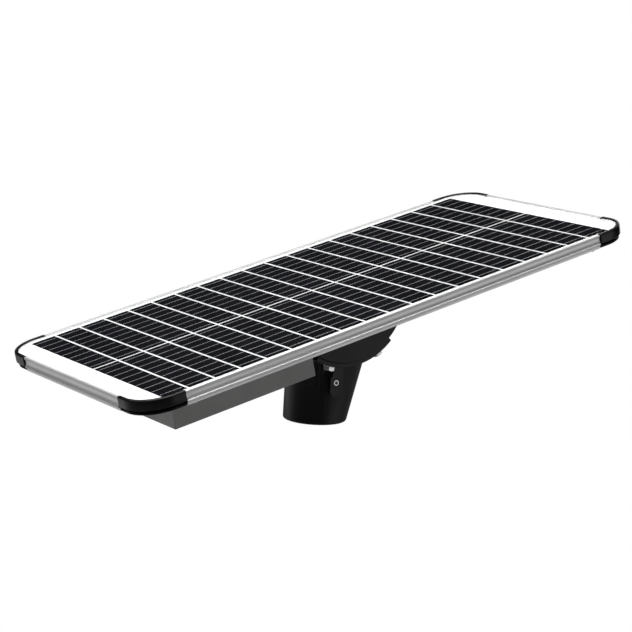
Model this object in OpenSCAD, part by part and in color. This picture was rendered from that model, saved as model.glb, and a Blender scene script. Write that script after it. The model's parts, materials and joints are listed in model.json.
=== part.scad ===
// All-in-one solar street lamp head.
// The origin is the centre of the pole sleeve's mouth and +Z runs up the pole.
// The panel, the box and the tilt base turn together about the tilt axis, which is
// parallel to Y. They are drawn level in their own frame, whose origin is the middle
// of the tilt axis, and in_head() then lifts their +X end by the rest tilt.

/* [Panel] */
// Length of one cell strip, across the lamp
cell_length = 158.75; // [132:0.25:191]
// Width of one cell strip, along the lamp
cell_width = 31.75; // [26:0.25:39]
// Number of cell strips in each of the two columns
cell_rows = 19; // [16:1:24]
// Gap between neighbouring strips of a column
row_gap = 2.6; // [1:0.1:5]
// Gap between the two columns
column_gap = 2.5; // [1:0.1:6]
// Number of ribbons across each strip
ribbons_per_cell = 9; // [3:1:12]
// Width of one ribbon
ribbon_width = 0.9; // [0.5:0.1:2]
// Bare margin between the cells and the lip on the long sides
side_margin = 7; // [4:0.5:20]
// Bare margin between the cells and the lip at the ends
end_margin = 28.2; // [12:0.1:50]
// Thickness of the panel glass
glass_thickness = 3.2; // [2:0.1:4]

/* [Frame] */
// Width of the lip that holds the glass down
lip_width = 4; // [4:0.1:8]
// Thickness of the lip
lip_thickness = 1; // [0.8:0.1:2]
// Height from the glass's upper face to the frame's lower edge
frame_depth = 16.3; // [15:0.1:24]
// Thickness of a rail's outer wall
rail_wall = 2.8; // [2.2:0.1:3.2]
// Thickness of the back plate
back_plate_thickness = 2; // [1:0.25:4]
// Outer radius of the corner caps
corner_radius = 42; // [30:1:52]
// Reach of a corner cap along each side
cap_reach = 56; // [54:1:80]

/* [Light and battery box] */
// Length of the box, along the lamp
box_length = 193; // [170:1:235]
// Width of the box, across the lamp
box_width = 220; // [200:1:264]
// Height of the box below the frame
box_height = 46.3; // [42:0.1:60]
// Distance from the tilt axis to the near end of the box
box_offset = 99; // [95:1:130]
// Thickness of the box's walls
box_wall = 2; // [1.5:0.1:3]
// Diameter of one battery cell
battery_diameter = 26.2; // [18:0.1:27]
// Length of one battery cell
battery_length = 65.3; // [60:0.1:68]
// Rows of light chips along the lamp
chip_rows = 5; // [2:1:6]
// Light chips in each row, across the lamp
chips_per_row = 8; // [4:1:9]
// Travel of the push switch's button
button_travel = 2; // [1:0.25:3]

/* [Tilt joint] */
// Radius of the half-moon tilt base
drum_radius = 85; // [80:1:100]
// Width of the tilt base across the lamp
drum_width = 116; // [108:1:130]
// Thickness of the tilt base's walls
drum_wall = 5; // [4:0.5:7]
// Thickness of the sleeve's saddle
saddle_thickness = 5.7; // [4:0.1:8]
// Clearance between the saddle and the tilt base
saddle_gap = 0.3; // [0.2:0.1:1]
// Tilt of the panel at rest
rest_tilt = 15; // [5:1:25]
// Tilt each way from rest
tilt_each_way = 15; // [5:1:15]
// Diameter of the clamp bolts
bolt_diameter = 8; // [6:1:8]

/* [Pole sleeve] */
// Diameter of the pole socket
socket_diameter = 70; // [60:0.5:76]
// Depth of the pole socket
socket_depth = 70; // [50:1:72]
// Thickness of the sleeve's wall at its mouth
sleeve_wall = 4.25; // [3.5:0.25:7]
// Height of the tilt axis above the sleeve's mouth
axis_height = 166; // [164:1:200]
// Offset of the tilt axis from the pole's axis
axis_offset = 2; // [0:0.5:8]
// Lean of the sleeve's uphill side
sleeve_lean = 15.4; // [5:0.1:20]
// Diameter of the set screws
set_screw_diameter = 8; // [6:1:10]
// Feed of a set screw towards the pole
set_screw_feed = 4; // [2:0.25:4.25]

/* [Hidden] */
$fn = 48;

silver = [0.80, 0.80, 0.82];
steel = [0.72, 0.72, 0.74];
black = [0.07, 0.07, 0.08];
box_grey = [0.55, 0.55, 0.56];
cell_blue = [0.03, 0.04, 0.08];
white = [0.92, 0.92, 0.92];
green = [0.05, 0.30, 0.14];
rubber = [0.12, 0.12, 0.12];
red = [0.70, 0.08, 0.06];
clear = [0.80, 0.85, 0.88, 0.4];

// Small clearances and overlaps
seat_gap = 0.1;
slip_gap = 0.3;
bite = 0.1;

// Plan of the panel
array_length = cell_rows * cell_width + (cell_rows - 1) * row_gap;
array_width = 2 * cell_length + column_gap;
half_length = array_length / 2 + end_margin + lip_width;
half_width = array_width / 2 + side_margin + lip_width;
column_y = (cell_length + column_gap) / 2;
glass_inset = rail_wall + 0.7;
plate_inset = rail_wall + 0.2;

// Levels of the panel above the tilt axis, from the glass down
glass_top = 0.9;
lip_under = glass_top + seat_gap;
lip_top = lip_under + lip_thickness;
glass_bottom = glass_top - glass_thickness;
ribbon_thickness = 0.1;
cell_thickness = 0.2;
backsheet_thickness = 0.35;
cell_top = glass_bottom - ribbon_thickness - 0.05;
backsheet_top = cell_top - cell_thickness;
backsheet_bottom = backsheet_top - backsheet_thickness;
ledge_top = backsheet_bottom - seat_gap;
ledge_thickness = 1.3;
frame_bottom = glass_top - frame_depth;
plate_top = frame_bottom + back_plate_thickness;
chamber_top = ledge_top - ledge_thickness;
chamber_bottom = plate_top + ledge_thickness;
chamber_width = 5.2;
web_thickness = 1.3;
flange_width = 14;
seat_width = 10;

// Corner caps
cap_proud = 0.8;
cap_rise = 0.8;
cap_step = 2.6;
tier_level = frame_bottom + 5.9;
tenon_length = 20;
arc_steps = 14;

// Box, from its near end to its far end and from its top down
gasket_thickness = 1;
box_near = -box_offset;
box_far = box_near - box_length;
box_mid = (box_near + box_far) / 2;
box_top = frame_bottom - gasket_thickness;
box_bottom = frame_bottom - box_height;
box_flange = 12;
box_flange_thickness = 2;
ledge_width = 8;
inner_length = box_length - 2 * box_wall;
inner_width = box_width - 2 * box_wall;

// Stack of the light, from the box's lower edge up
lens_frame_thickness = 2;
lens_base_thickness = 1.5;
board_thickness = 1.6;
light_plate_thickness = 3;
lens_bottom = box_bottom + lens_frame_thickness;
lens_top = lens_bottom + lens_base_thickness;
light_plate_bottom = lens_top + board_thickness;
light_plate_top = light_plate_bottom + light_plate_thickness;
ledge_level = light_plate_top + 2;
window_length = 144;
window_width = 198;
window_x = box_far + box_wall + 9 + window_length / 2;
chip_size = 3;
chip_height = 0.8;
chip_pitch_x = (window_length - 48) / max(chip_rows - 1, 1);
chip_pitch_y = (window_width - 44) / max(chips_per_row - 1, 1);
dome_radius = 6.2;
dome_sink = 2.7;
pocket_radius = 3.4;

// Battery and controller
battery_pitch = battery_diameter + 0.6;
battery_columns = 4;
battery_row_count = 3;
pack_length = battery_columns * battery_pitch;
pack_width = battery_row_count * (battery_length + 1) + 4;
pack_x = box_far + box_wall + 4 + pack_length / 2;
battery_axis = ledge_level + 2 + battery_diameter / 2;
battery_board_level = battery_axis + battery_diameter / 2;
battery_board_y = 20;
controller_length = 34;
controller_width = 140;
controller_x = pack_x + pack_length / 2 + 6 + controller_length / 2;
controller_top = light_plate_top + 23.6;
controller_wall = 1.5;

// Switch, sensor and breather, in a line beside the lens window
fitting_x = box_near - box_wall - 17;
fitting_pitch = 45;
bush_radius = 6;
button_radius = 3.9;
button_gap = 0.06;

// Leads
lead_radius = 1.6;
thin_lead_radius = 1.2;
junction_x = controller_x - 59;
grommet_hole = 7;
junction_length = 90;
junction_width = 60;

// Tilt joint. Angles are measured about the tilt axis from straight down towards +X.
saddle_middle = 12.5;
bolt_spread = 22.5;
bolt_angles = [saddle_middle - bolt_spread, saddle_middle + bolt_spread];
saddle_start = saddle_middle - 40.5;
saddle_end = saddle_middle + 35.5;
saddle_radius = drum_radius + saddle_gap;
saddle_outer = saddle_radius + saddle_thickness;
saddle_width = drum_width - 4;
bolt_y = drum_width / 2 - 13;
bolt_radius = bolt_diameter / 2;
hex_across = 1.625 * bolt_diameter;
head_height = 0.66 * bolt_diameter;
washer_thickness = 1.6;
washer_radius = bolt_diameter;
seat_radius = saddle_outer - 1;
nut_bar_thickness = 9.7;
lug_width = 18;
lug_length = 150;
lug_thickness = 7;
lug_bolt_x = 60;
lug_bolt_y = drum_width / 2 + 9;
mounting_plate_thickness = 5;

// Pole sleeve
socket_radius = socket_diameter / 2;
sleeve_radius = socket_radius + sleeve_wall;
rib_width = 19;
rib_proud = 4.5;
rib_start = 36;
set_screw_height = 53.5;
set_screw_radius = set_screw_diameter / 2;
set_screw_length = 2 * set_screw_feed;
thread_gap = 0.05;

// ---- placing ----

module at_axis() translate([axis_offset, 0, axis_height]) children();

module in_head() at_axis() rotate([0, -rest_tilt, 0]) children();

// Both ends of a span about a centre
function span(centre, half) = [centre - half, centre + half];

// A block between two heights
module slab(x, y, z_low, z_high) {
    translate([x[0], y[0], z_low]) cube([x[1] - x[0], y[1] - y[0], z_high - z_low]);
}

// A flat rectangular ring, centred on [x, 0]
module ring(x, length, width, band, z_low, z_high) {
    difference() {
        translate([x, 0, z_low]) linear_extrude(z_high - z_low) square([length, width], center = true);
        translate([x, 0, z_low - 1]) linear_extrude(z_high - z_low + 2)
            square([length - 2 * band, width - 2 * band], center = true);
    }
}

// A part turned about the tilt axis, between two radii, two widths and two angles
module arc_block(r_in, r_out, y_low, y_high, a_start, a_end) {
    rotate([90, 0, 0]) rotate([0, 0, a_start - 90]) rotate_extrude(angle = a_end - a_start, $fn = 96)
        translate([r_in, -y_high]) square([r_out - r_in, y_high - y_low]);
}

// A cylinder that points away from the tilt axis
module radial(angle, y, r_in, r_out, radius, sides = 48) {
    rotate([0, -angle, 0]) translate([0, y, -r_out]) cylinder(r = radius, h = r_out - r_in, $fn = sides);
}

// A screw that points up, with its head below the given level
module screw(x, y, level, length, radius, head_radius, head) {
    translate([x, y, level - head]) cylinder(r = head_radius, h = head, $fn = 24);
    translate([x, y, level - bite]) cylinder(r = radius, h = length + bite, $fn = 24);
}

// A run of lead through a list of points, with a ball at each bend
module lead(points, radius) {
    for (i = [0 : len(points) - 2]) {
        step = points[i + 1] - points[i];
        run = norm(step);
        turn = atan2(step[1], step[0]);
        rise = acos(step[2] / run);
        translate(points[i]) rotate([0, rise, turn]) cylinder(r = radius, h = run, $fn = 24);
        if (i > 0) translate(points[i]) sphere(r = radius, $fn = 24);
    }
}

// Points of an arc
function arc(centre, radius, from, to, steps) =
    [for (i = [0 : steps]) centre + radius * [cos(from + (to - from) * i / steps),
                                              sin(from + (to - from) * i / steps)]];

// ---- frame ----

// Plan of the panel, pulled in by the given inset
module plan(inset) {
    cx = half_length - corner_radius;
    cy = half_width - corner_radius;
    r = corner_radius - inset;
    polygon(concat(
        arc([cx, cy], r, 0, 90, arc_steps),
        arc([-cx, cy], r, 90, 180, arc_steps),
        arc([-cx, -cy], r, 180, 270, arc_steps),
        arc([cx, -cy], r, 270, 360, arc_steps)
    ));
}

// Cross-section of a rail: x is 0 at the outer face and y is the height
module rail_profile() {
    hollow_top = lip_under - 0.6;
    hollow_bottom = tier_level + 1.1;
    hollow_depth = 1.2;
    half_chord = (hollow_top - hollow_bottom) / 2;
    hollow_radius = (half_chord * half_chord + hollow_depth * hollow_depth) / (2 * hollow_depth);
    hollow_angle = asin(half_chord / hollow_radius);
    bead_level = tier_level - 0.7;
    difference() {
        polygon(concat(
            [[-lip_width, lip_under], [-lip_width, lip_top]],
            arc([-lip_thickness, lip_under], lip_thickness, 90, 0, 6),
            arc([hollow_radius - hollow_depth, (hollow_top + hollow_bottom) / 2], hollow_radius,
                180 - hollow_angle, 180 + hollow_angle, 10),
            arc([-0.4, bead_level], 1.15, 70, -70, 8),
            [[-1.6, bead_level - 1.3], [-1.6, bead_level - 2.2], [-1.2, bead_level - 2.5]],
            [[-1.2, frame_bottom], [-rail_wall, frame_bottom], [-rail_wall, plate_top]],
            [[-flange_width, plate_top], [-flange_width, chamber_bottom]],
            [[-rail_wall - chamber_width - web_thickness, chamber_bottom]],
            [[-rail_wall - chamber_width - web_thickness, chamber_top]],
            [[-seat_width, chamber_top], [-seat_width, ledge_top]],
            [[-rail_wall, ledge_top], [-rail_wall, lip_under]]
        ));
        translate([-rail_wall - chamber_width, chamber_bottom])
            square([chamber_width, chamber_top - chamber_bottom]);
    }
}

// A rail whose outer face looks along +X, with its screw holes
module rail(offset, side) {
    length = 2 * (side - cap_reach);
    color(silver) difference() {
        translate([offset, 0, 0]) rotate([90, 0, 0]) linear_extrude(length, center = true) rail_profile();
        for (s = [-1, 1]) {
            translate([offset - corner_screw_inset, s * corner_screw_place(side), plate_top - 1])
                cylinder(r = 1.7, h = ledge_thickness + 2, $fn = 24);
        }
        for (y = rim_screw_places(side))
            translate([offset - rim_screw_inset, y, plate_top - 1])
                cylinder(r = 1.55, h = ledge_thickness + 2, $fn = 24);
    }
}

corner_screw_inset = rail_wall + chamber_width / 2;
rim_screw_inset = flange_width - 2.4;
function corner_screw_place(side) = side - cap_reach - tenon_length / 2;
function rim_screw_places(side) =
    let (reach = side - cap_reach - 35, count = max(2, round(reach / 80) + 1))
    [for (i = [0 : count - 1]) -reach + 2 * reach * i / (count - 1)];

module frame_rail_right() in_head() rail(half_length, half_width);

module frame_rail_left() in_head() rotate([0, 0, 180]) rail(half_length, half_width);

module frame_rail_front() in_head() rotate([0, 0, -90]) rail(half_width, half_length);

module frame_rail_rear() in_head() rotate([0, 0, 90]) rail(half_width, half_length);

// Path round a corner, whose point is the origin and whose sides run along +X and +Y
function bend(inset, reach) = concat(
    [[reach, inset]],
    arc([corner_radius, corner_radius], corner_radius - inset, 270, 180, arc_steps),
    [[inset, reach]]
);

function reversed(list) = [for (i = [len(list) - 1 : -1 : 0]) list[i]];

// A band round the corner between two insets and two heights
module corner_band(outer, inner, reach, z_low, z_high) {
    translate([0, 0, z_low]) linear_extrude(z_high - z_low)
        polygon(concat(bend(outer, reach), reversed(bend(inner, reach))));
}

module corner_cap() {
    core = rail_wall + chamber_width;
    fit = 0.15;
    window = [16, 6, 3.4];
    window_turn = 249;
    difference() {
        union() {
            corner_band(-cap_proud, lip_width, cap_reach, lip_under, lip_top + cap_rise);
            corner_band(-cap_proud, rail_wall, cap_reach, tier_level, lip_under + bite);
            corner_band(cap_step - cap_proud, rail_wall, cap_reach - 1.5, frame_bottom, tier_level + bite);
            corner_band(rail_wall - bite, core, cap_reach, plate_top, ledge_top);
            corner_band(core - bite, seat_width, cap_reach, chamber_top, ledge_top);
            corner_band(core - bite, seat_width + 8, cap_reach, plate_top, chamber_bottom);
            for (turn = [0, 1])
                mirror([turn, -turn, 0])
                    slab([cap_reach - bite, cap_reach + tenon_length], [rail_wall + fit, core - fit],
                         chamber_bottom + fit, chamber_top - fit);
        }
        translate([corner_radius, corner_radius, 0]) rotate([0, 0, window_turn])
            translate([corner_radius - cap_step, -window[0] / 2, tier_level - 1.4 - window[2]])
                cube([window[1], window[0], window[2]]);
        for (turn = [0, 1])
            mirror([turn, -turn, 0])
                translate([cap_reach + tenon_length / 2, corner_screw_inset, chamber_bottom - 1])
                    cylinder(r = 1.55, h = chamber_top - chamber_bottom, $fn = 24);
    }
}

module at_corner(sx, sy) {
    translate([sx * half_length, sy * half_width, 0])
        mirror([max(sx, 0), 0, 0]) mirror([0, max(sy, 0), 0]) children();
}

module corner_cap_front_left() color(black) in_head() at_corner(-1, -1) corner_cap();

module corner_cap_front_right() color(black) in_head() at_corner(1, -1) corner_cap();

module corner_cap_rear_left() color(black) in_head() at_corner(-1, 1) corner_cap();

module corner_cap_rear_right() color(black) in_head() at_corner(1, 1) corner_cap();

// Centres of the corner screws
corner_screw_points = [for (sx = [-1, 1], sy = [-1, 1], p = [
    [half_length - corner_screw_inset, corner_screw_place(half_width)],
    [corner_screw_place(half_length), half_width - corner_screw_inset]
]) [sx * p[0], sy * p[1]]];

module corner_screws() color(steel) in_head()
    for (p = corner_screw_points) screw(p[0], p[1], frame_bottom, 9, 1.5, 2.8, 1.8);

// ---- panel ----

module panel_glass() color(clear) in_head()
    translate([0, 0, glass_bottom]) linear_extrude(glass_thickness) plan(glass_inset);

function cell_x(i) = (i - (cell_rows - 1) / 2) * (cell_width + row_gap);

module solar_cells() color(cell_blue) in_head()
    for (i = [0 : cell_rows - 1], s = [-1, 1])
        translate([cell_x(i) - cell_width / 2, s * column_y - cell_length / 2, backsheet_top])
            cube([cell_width, cell_length, cell_thickness]);

// The long ribbons of each column, the band that joins the columns at one end and the
// two bands that end them at the other
module cell_ribbons() color(silver) in_head() {
    pitch = cell_length / ribbons_per_cell;
    band = 5;
    band_x = array_length / 2 + 4;
    for (s = [-1, 1], k = [0 : ribbons_per_cell - 1])
        translate([-band_x, s * column_y + (k - (ribbons_per_cell - 1) / 2) * pitch - ribbon_width / 2, cell_top])
            cube([2 * band_x, ribbon_width, ribbon_thickness]);
    slab([band_x, band_x + band], [-column_y - cell_length / 2, column_y + cell_length / 2],
         cell_top, cell_top + ribbon_thickness);
    for (s = [-1, 1])
        slab([-band_x - band, -band_x], span(s * column_y, cell_length / 2),
             cell_top, cell_top + ribbon_thickness);
}

module panel_backsheet() color(white) in_head()
    translate([0, 0, backsheet_bottom]) linear_extrude(backsheet_thickness) plan(glass_inset);

junction_wall = 1.5;
junction_floor = backsheet_bottom - 6;
junction_lid_bottom = junction_floor - 1.5;

module panel_junction_box() color(black) in_head() difference() {
    slab(span(junction_x, junction_length / 2), span(0, junction_width / 2),
         junction_floor, backsheet_bottom);
    slab(span(junction_x, junction_length / 2 - junction_wall),
         span(0, junction_width / 2 - junction_wall), junction_floor - 1, backsheet_bottom - 1);
}

module junction_box_lid() color(black) in_head()
    slab(span(junction_x, junction_length / 2), span(0, junction_width / 2),
         junction_lid_bottom, junction_floor);

// ---- back plate and mounting plate ----

rim_screw_points = concat(
    [for (x = rim_screw_places(half_length), s = [-1, 1]) [x, s * (half_width - rim_screw_inset)]],
    [for (y = rim_screw_places(half_width), s = [-1, 1]) [s * (half_length - rim_screw_inset), y]]
);
housing_screw_points = [for (i = [-1, 0, 1], s = [-1, 1], p = [
    [box_mid + i * (box_length / 2 - box_flange * 2), s * (box_width / 2 - box_flange / 2)],
    [box_mid + s * (box_length / 2 - box_flange / 2), i * (box_width / 2 - box_flange * 2)]
]) p];
lug_bolt_points = [for (sx = [-1, 1], sy = [-1, 1]) [sx * lug_bolt_x, sy * lug_bolt_y]];

// Round holes through a plate at a list of points
module holes(points, radius, z_low, z_high) {
    for (p = points)
        translate([p[0], p[1], z_low - 1]) cylinder(r = radius, h = z_high - z_low + 2, $fn = 24);
}

module back_plate() color(silver) in_head() difference() {
    translate([0, 0, frame_bottom]) linear_extrude(back_plate_thickness) plan(plate_inset);
    holes(concat(rim_screw_points, corner_screw_points), 1.7, frame_bottom, plate_top);
    holes(housing_screw_points, 2.05, frame_bottom, plate_top);
    holes(lug_bolt_points, bolt_radius + 0.25, frame_bottom, plate_top);
    holes([[controller_x, 0]], grommet_hole, frame_bottom, plate_top);
}

module back_plate_screws() color(steel) in_head()
    for (p = rim_screw_points) screw(p[0], p[1], frame_bottom, 6, 1.5, 2.8, 1.8);

module mounting_plate() color(steel) in_head() difference() {
    slab(span(0, lug_length / 2 + 15), span(0, lug_bolt_y + 15), plate_top,
         plate_top + mounting_plate_thickness);
    holes(lug_bolt_points, bolt_radius + thread_gap, plate_top, plate_top + mounting_plate_thickness);
}

module cable_grommet() color(rubber) in_head() translate([controller_x, 0, 0]) difference() {
    union() {
        translate([0, 0, frame_bottom - 1.5]) cylinder(r = grommet_hole + 2, h = 1.5);
        translate([0, 0, frame_bottom - bite])
            cylinder(r = grommet_hole - seat_gap / 2, h = back_plate_thickness + 2 * bite);
        translate([0, 0, plate_top]) cylinder(r = grommet_hole + 2, h = 1.5);
    }
    translate([0, 0, frame_bottom - 3]) cylinder(r = grommet_hole - 2, h = back_plate_thickness + 6);
}

// ---- light and battery box ----

module housing_shell() color(box_grey) in_head() difference() {
    union() {
        ring(box_mid, box_length, box_width, box_wall, box_bottom, box_top);
        ring(box_mid, box_length - box_wall, box_width - box_wall, box_flange - box_wall / 2,
             box_top - box_flange_thickness, box_top);
        ring(box_mid, box_length - box_wall, box_width - box_wall, ledge_width + box_wall / 2,
             light_plate_top, ledge_level);
    }
    holes(housing_screw_points, 2.05, box_top - box_flange_thickness, box_top);
    holes(light_screw_points, 1.55, light_plate_top, ledge_level);
}

module housing_gasket() color(rubber) in_head() difference() {
    ring(box_mid, box_length, box_width, box_flange, box_top, frame_bottom);
    holes(housing_screw_points, 2.05, box_top, frame_bottom);
}

module housing_screws() color(steel) in_head()
    for (p = housing_screw_points)
        screw(p[0], p[1], box_top - box_flange_thickness, 6.5, 2, 3.6, 2.2);

light_screw_inset = 4.3;
light_screw_points = [for (s = [-1, 1], p = concat(
    [for (i = [-1, 0, 1]) [box_mid + i * (inner_length / 2 - 16), s * (inner_width / 2 - light_screw_inset)]],
    [for (y = span(0, fitting_pitch * 0.55)) [box_mid + s * (inner_length / 2 - light_screw_inset), y]]
)) p];

module light_plate() color(silver) in_head() difference() {
    slab(span(box_mid, inner_length / 2 - slip_gap), span(0, inner_width / 2 - slip_gap),
         light_plate_bottom, light_plate_top);
    holes(light_screw_points, 1.7, light_plate_bottom, light_plate_top);
    holes(lens_screw_points, 1.55, light_plate_bottom, light_plate_top);
    holes([[fitting_x, -fitting_pitch]], bush_radius + 0.1, light_plate_bottom, light_plate_top);
    holes([[fitting_x, 0]], sensor_radius - 2, light_plate_bottom, light_plate_top);
    holes([[fitting_x, fitting_pitch]], vent_radius + thread_gap, light_plate_bottom, light_plate_top);
    holes([[controller_x, light_lead_y]], light_lead_hole, light_plate_bottom, light_plate_top);
}

module light_plate_screws() color(steel) in_head()
    for (p = light_screw_points)
        screw(p[0], p[1], light_plate_bottom, ledge_level - light_plate_bottom, 1.5, 2.8, 1.8);

lens_band = 9;
board_inset = 8;
function chip_points() = [for (i = [0 : chip_rows - 1], k = [0 : chips_per_row - 1])
    [window_x + (i - (chip_rows - 1) / 2) * chip_pitch_x, (k - (chips_per_row - 1) / 2) * chip_pitch_y]];

module led_board() color(white) in_head()
    slab(span(window_x, window_length / 2 - board_inset),
         span(0, window_width / 2 - board_inset), lens_top, light_plate_bottom);

module led_chips() color([0.95, 0.85, 0.35]) in_head()
    for (p = chip_points())
        translate([p[0] - chip_size / 2, p[1] - chip_size / 2, lens_top - chip_height])
            cube([chip_size, chip_size, chip_height]);

lens_screw_points = [for (s = [-1, 1], p = concat(
    [for (i = [-1, 0, 1]) [window_x + i * (window_length / 2 - 5), s * (window_width / 2 - 4)]],
    [for (y = span(0, window_width / 6)) [window_x + s * (window_length / 2 - 4), y]]
)) p];

module lens_gasket() color(rubber) in_head() difference() {
    ring(window_x, window_length - 2, window_width - 2, 6, lens_top, light_plate_bottom);
    holes(lens_screw_points, 1.7, lens_top, light_plate_bottom);
}

module lens_plate() color(clear) in_head() difference() {
    union() {
        slab(span(window_x, window_length / 2 - 1), span(0, window_width / 2 - 1),
             lens_bottom, lens_top);
        intersection() {
            for (p = chip_points())
                translate([p[0], p[1], lens_bottom + dome_sink]) sphere(r = dome_radius, $fn = 32);
            slab(span(window_x, window_length / 2), span(0, window_width / 2),
                 lens_bottom - 10, lens_bottom + bite);
        }
    }
    for (p = chip_points()) translate([p[0], p[1], lens_top]) sphere(r = pocket_radius, $fn = 24);
    holes(lens_screw_points, 1.7, lens_bottom, lens_top);
}

module lens_frame() color(box_grey) in_head() difference() {
    ring(window_x, window_length, window_width, lens_band, box_bottom, lens_bottom);
    holes(lens_screw_points, 1.7, box_bottom, lens_bottom);
}

module lens_frame_screws() color(steel) in_head()
    for (p = lens_screw_points) screw(p[0], p[1], box_bottom, 7.5, 1.5, 2.6, 1.5);

// ---- battery ----

module battery_tray() color(black) in_head() difference() {
    union() {
        slab(span(pack_x, pack_length / 2), span(0, pack_width / 2), ledge_level, battery_axis - 6);
        for (s = [-1, 1])
            slab(span(pack_x, pack_length / 2), span(s * (pack_width / 2 - 0.75), 0.75),
                 ledge_level, battery_axis + 6);
    }
    for (i = [0 : battery_columns - 1])
        translate([pack_x + (i - (battery_columns - 1) / 2) * battery_pitch, 0, battery_axis])
            rotate([90, 0, 0]) cylinder(r = battery_diameter / 2 + 0.15, h = pack_width - 3, center = true);
}

module battery_cells() color([0.12, 0.30, 0.55]) in_head()
    for (i = [0 : battery_columns - 1], k = [-1, 0, 1])
        translate([pack_x + (i - (battery_columns - 1) / 2) * battery_pitch,
                   k * (battery_length + 1) + battery_length / 2, battery_axis])
            rotate([90, 0, 0]) {
                cylinder(r = battery_diameter / 2, h = battery_length);
                translate([0, 0, -0.8]) cylinder(r = battery_diameter / 5, h = 0.9);
            }

module battery_board() color(green) in_head() {
    slab(span(pack_x, 38), span(battery_board_y, 20), battery_board_level, battery_board_level + board_thickness);
    for (i = [-1, 0, 1])
        slab(span(pack_x + i * 20, 4), span(battery_board_y - 5, 7),
             battery_board_level + board_thickness - bite, battery_board_level + board_thickness + 1.5);
}

// ---- charge controller ----

controller_x_span = span(controller_x, controller_length / 2);
controller_y_span = span(0, controller_width / 2);
board_shelf = light_plate_top + 9;
lid_thickness = 1.5;
controller_rim = controller_top - lid_thickness;

function shrunk(span, by) = [span[0] + by, span[1] - by];

module controller_case() color(rubber) in_head() difference() {
    slab(controller_x_span, controller_y_span, light_plate_top, controller_rim);
    slab(shrunk(controller_x_span, controller_wall + 2), shrunk(controller_y_span, controller_wall + 2),
         light_plate_top + controller_wall, board_shelf + 1);
    slab(shrunk(controller_x_span, controller_wall), shrunk(controller_y_span, controller_wall),
         board_shelf, controller_rim + 1);
}

module controller_board() color(green) in_head() {
    slab(shrunk(controller_x_span, controller_wall + 0.2), shrunk(controller_y_span, controller_wall + 0.2),
         board_shelf, board_shelf + board_thickness);
    for (y = [-44, 44])
        translate([controller_x, y, board_shelf + board_thickness - bite]) cylinder(r = 5, h = 9);
    for (y = [-22, 0, 22])
        slab(span(controller_x, 7), span(y, 8), board_shelf + board_thickness - bite,
             board_shelf + board_thickness + 4);
}

module controller_lid() color(rubber) in_head()
    slab(controller_x_span, controller_y_span, controller_rim, controller_top);

// ---- push switch, motion sensor and breather ----

switch_flange = 2;
seal_thickness = 1;
switch_face = light_plate_bottom - seal_thickness - switch_flange;
switch_top = light_plate_top + 13;
button_room = 3;
sensor_radius = 10;
vent_radius = 6;

module switch_body() color(black) in_head() translate([fitting_x, -fitting_pitch, 0]) difference() {
    union() {
        translate([0, 0, switch_face]) cylinder(r = bush_radius + 2.5, h = switch_flange);
        translate([0, 0, switch_face + 1]) cylinder(r = bush_radius, h = switch_top - switch_face - 1);
    }
    translate([0, 0, switch_face - 1])
        cylinder(r = button_radius + button_gap, h = switch_top - switch_face - 1);
}

module switch_button() color(red) in_head() translate([fitting_x, -fitting_pitch, switch_face - button_travel - 0.5])
    cylinder(r = button_radius, h = switch_top - switch_face - button_room - 2);

module switch_seal() color(rubber) in_head() translate([fitting_x, -fitting_pitch, light_plate_bottom - seal_thickness])
    difference() {
        cylinder(r = bush_radius + 2.5, h = seal_thickness);
        translate([0, 0, -1]) cylinder(r = bush_radius + 0.1, h = seal_thickness + 2);
    }

module switch_nut() color(steel) in_head() translate([fitting_x, -fitting_pitch, light_plate_top]) difference() {
    cylinder(r = bush_radius + 2, h = 3, $fn = 6);
    translate([0, 0, -1]) cylinder(r = bush_radius + thread_gap, h = 5);
}

module sensor_dome() color(white) in_head() translate([fitting_x, 0, light_plate_bottom]) difference() {
    union() {
        translate([0, 0, -1.5]) cylinder(r = sensor_radius + 1.5, h = 1.5);
        intersection() {
            translate([0, 0, -1]) sphere(r = sensor_radius);
            translate([0, 0, -2 * sensor_radius - 1]) cylinder(r = 2 * sensor_radius, h = 2 * sensor_radius);
        }
    }
    translate([0, 0, -1]) sphere(r = sensor_radius - 1.2);
}

module sensor_board() color(green) in_head() translate([fitting_x, 0, light_plate_top]) {
    cylinder(r = sensor_radius - 1.5, h = board_thickness);
    translate([0, 0, -4]) cylinder(r = 4.6, h = 4 + bite);
}

module vent_plug() color(black) in_head() translate([fitting_x, fitting_pitch, 0]) difference() {
    union() {
        translate([0, 0, light_plate_bottom - 3]) cylinder(r = vent_radius + 3, h = 3, $fn = 6);
        translate([0, 0, light_plate_bottom - bite])
            cylinder(r = vent_radius, h = light_plate_thickness + 3 + bite);
    }
    translate([0, 0, light_plate_bottom - 2]) cylinder(r = 3, h = light_plate_thickness + 8);
}

// ---- leads ----

light_lead_y = -controller_width / 2 - 10;
light_lead_hole = 4;
junction_end = junction_x + junction_length / 2;

module panel_leads() color(red) in_head()
    for (y = span(0, 2 * lead_radius))
        lead([[junction_end, y, backsheet_bottom - 3.5], [controller_x, y, backsheet_bottom - 3.5],
              [controller_x, y, controller_top]], lead_radius);

module battery_leads() color(red) in_head() {
    level = battery_board_level + thin_lead_radius + 0.1;
    for (y = span(battery_board_y, 3))
        lead([[pack_x + 38, y, level], [controller_x, y, level], [controller_x, y, controller_top]],
             thin_lead_radius);
}

module light_leads() color(red) in_head()
    for (x = span(controller_x, 2))
        lead([[x, -controller_width / 2, light_plate_top + 12], [x, light_lead_y, light_plate_top + 12],
              [x, light_lead_y, light_plate_bottom]], thin_lead_radius);

module signal_leads() color(black) in_head()
    for (p = [[-fitting_pitch, switch_top], [0, light_plate_top + board_thickness]])
        lead([[fitting_x, p[0], p[1]], [fitting_x, p[0], controller_rim - 3],
              [controller_x + controller_length / 2, p[0], controller_rim - 3]], thin_lead_radius);

// ---- tilt base ----

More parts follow.
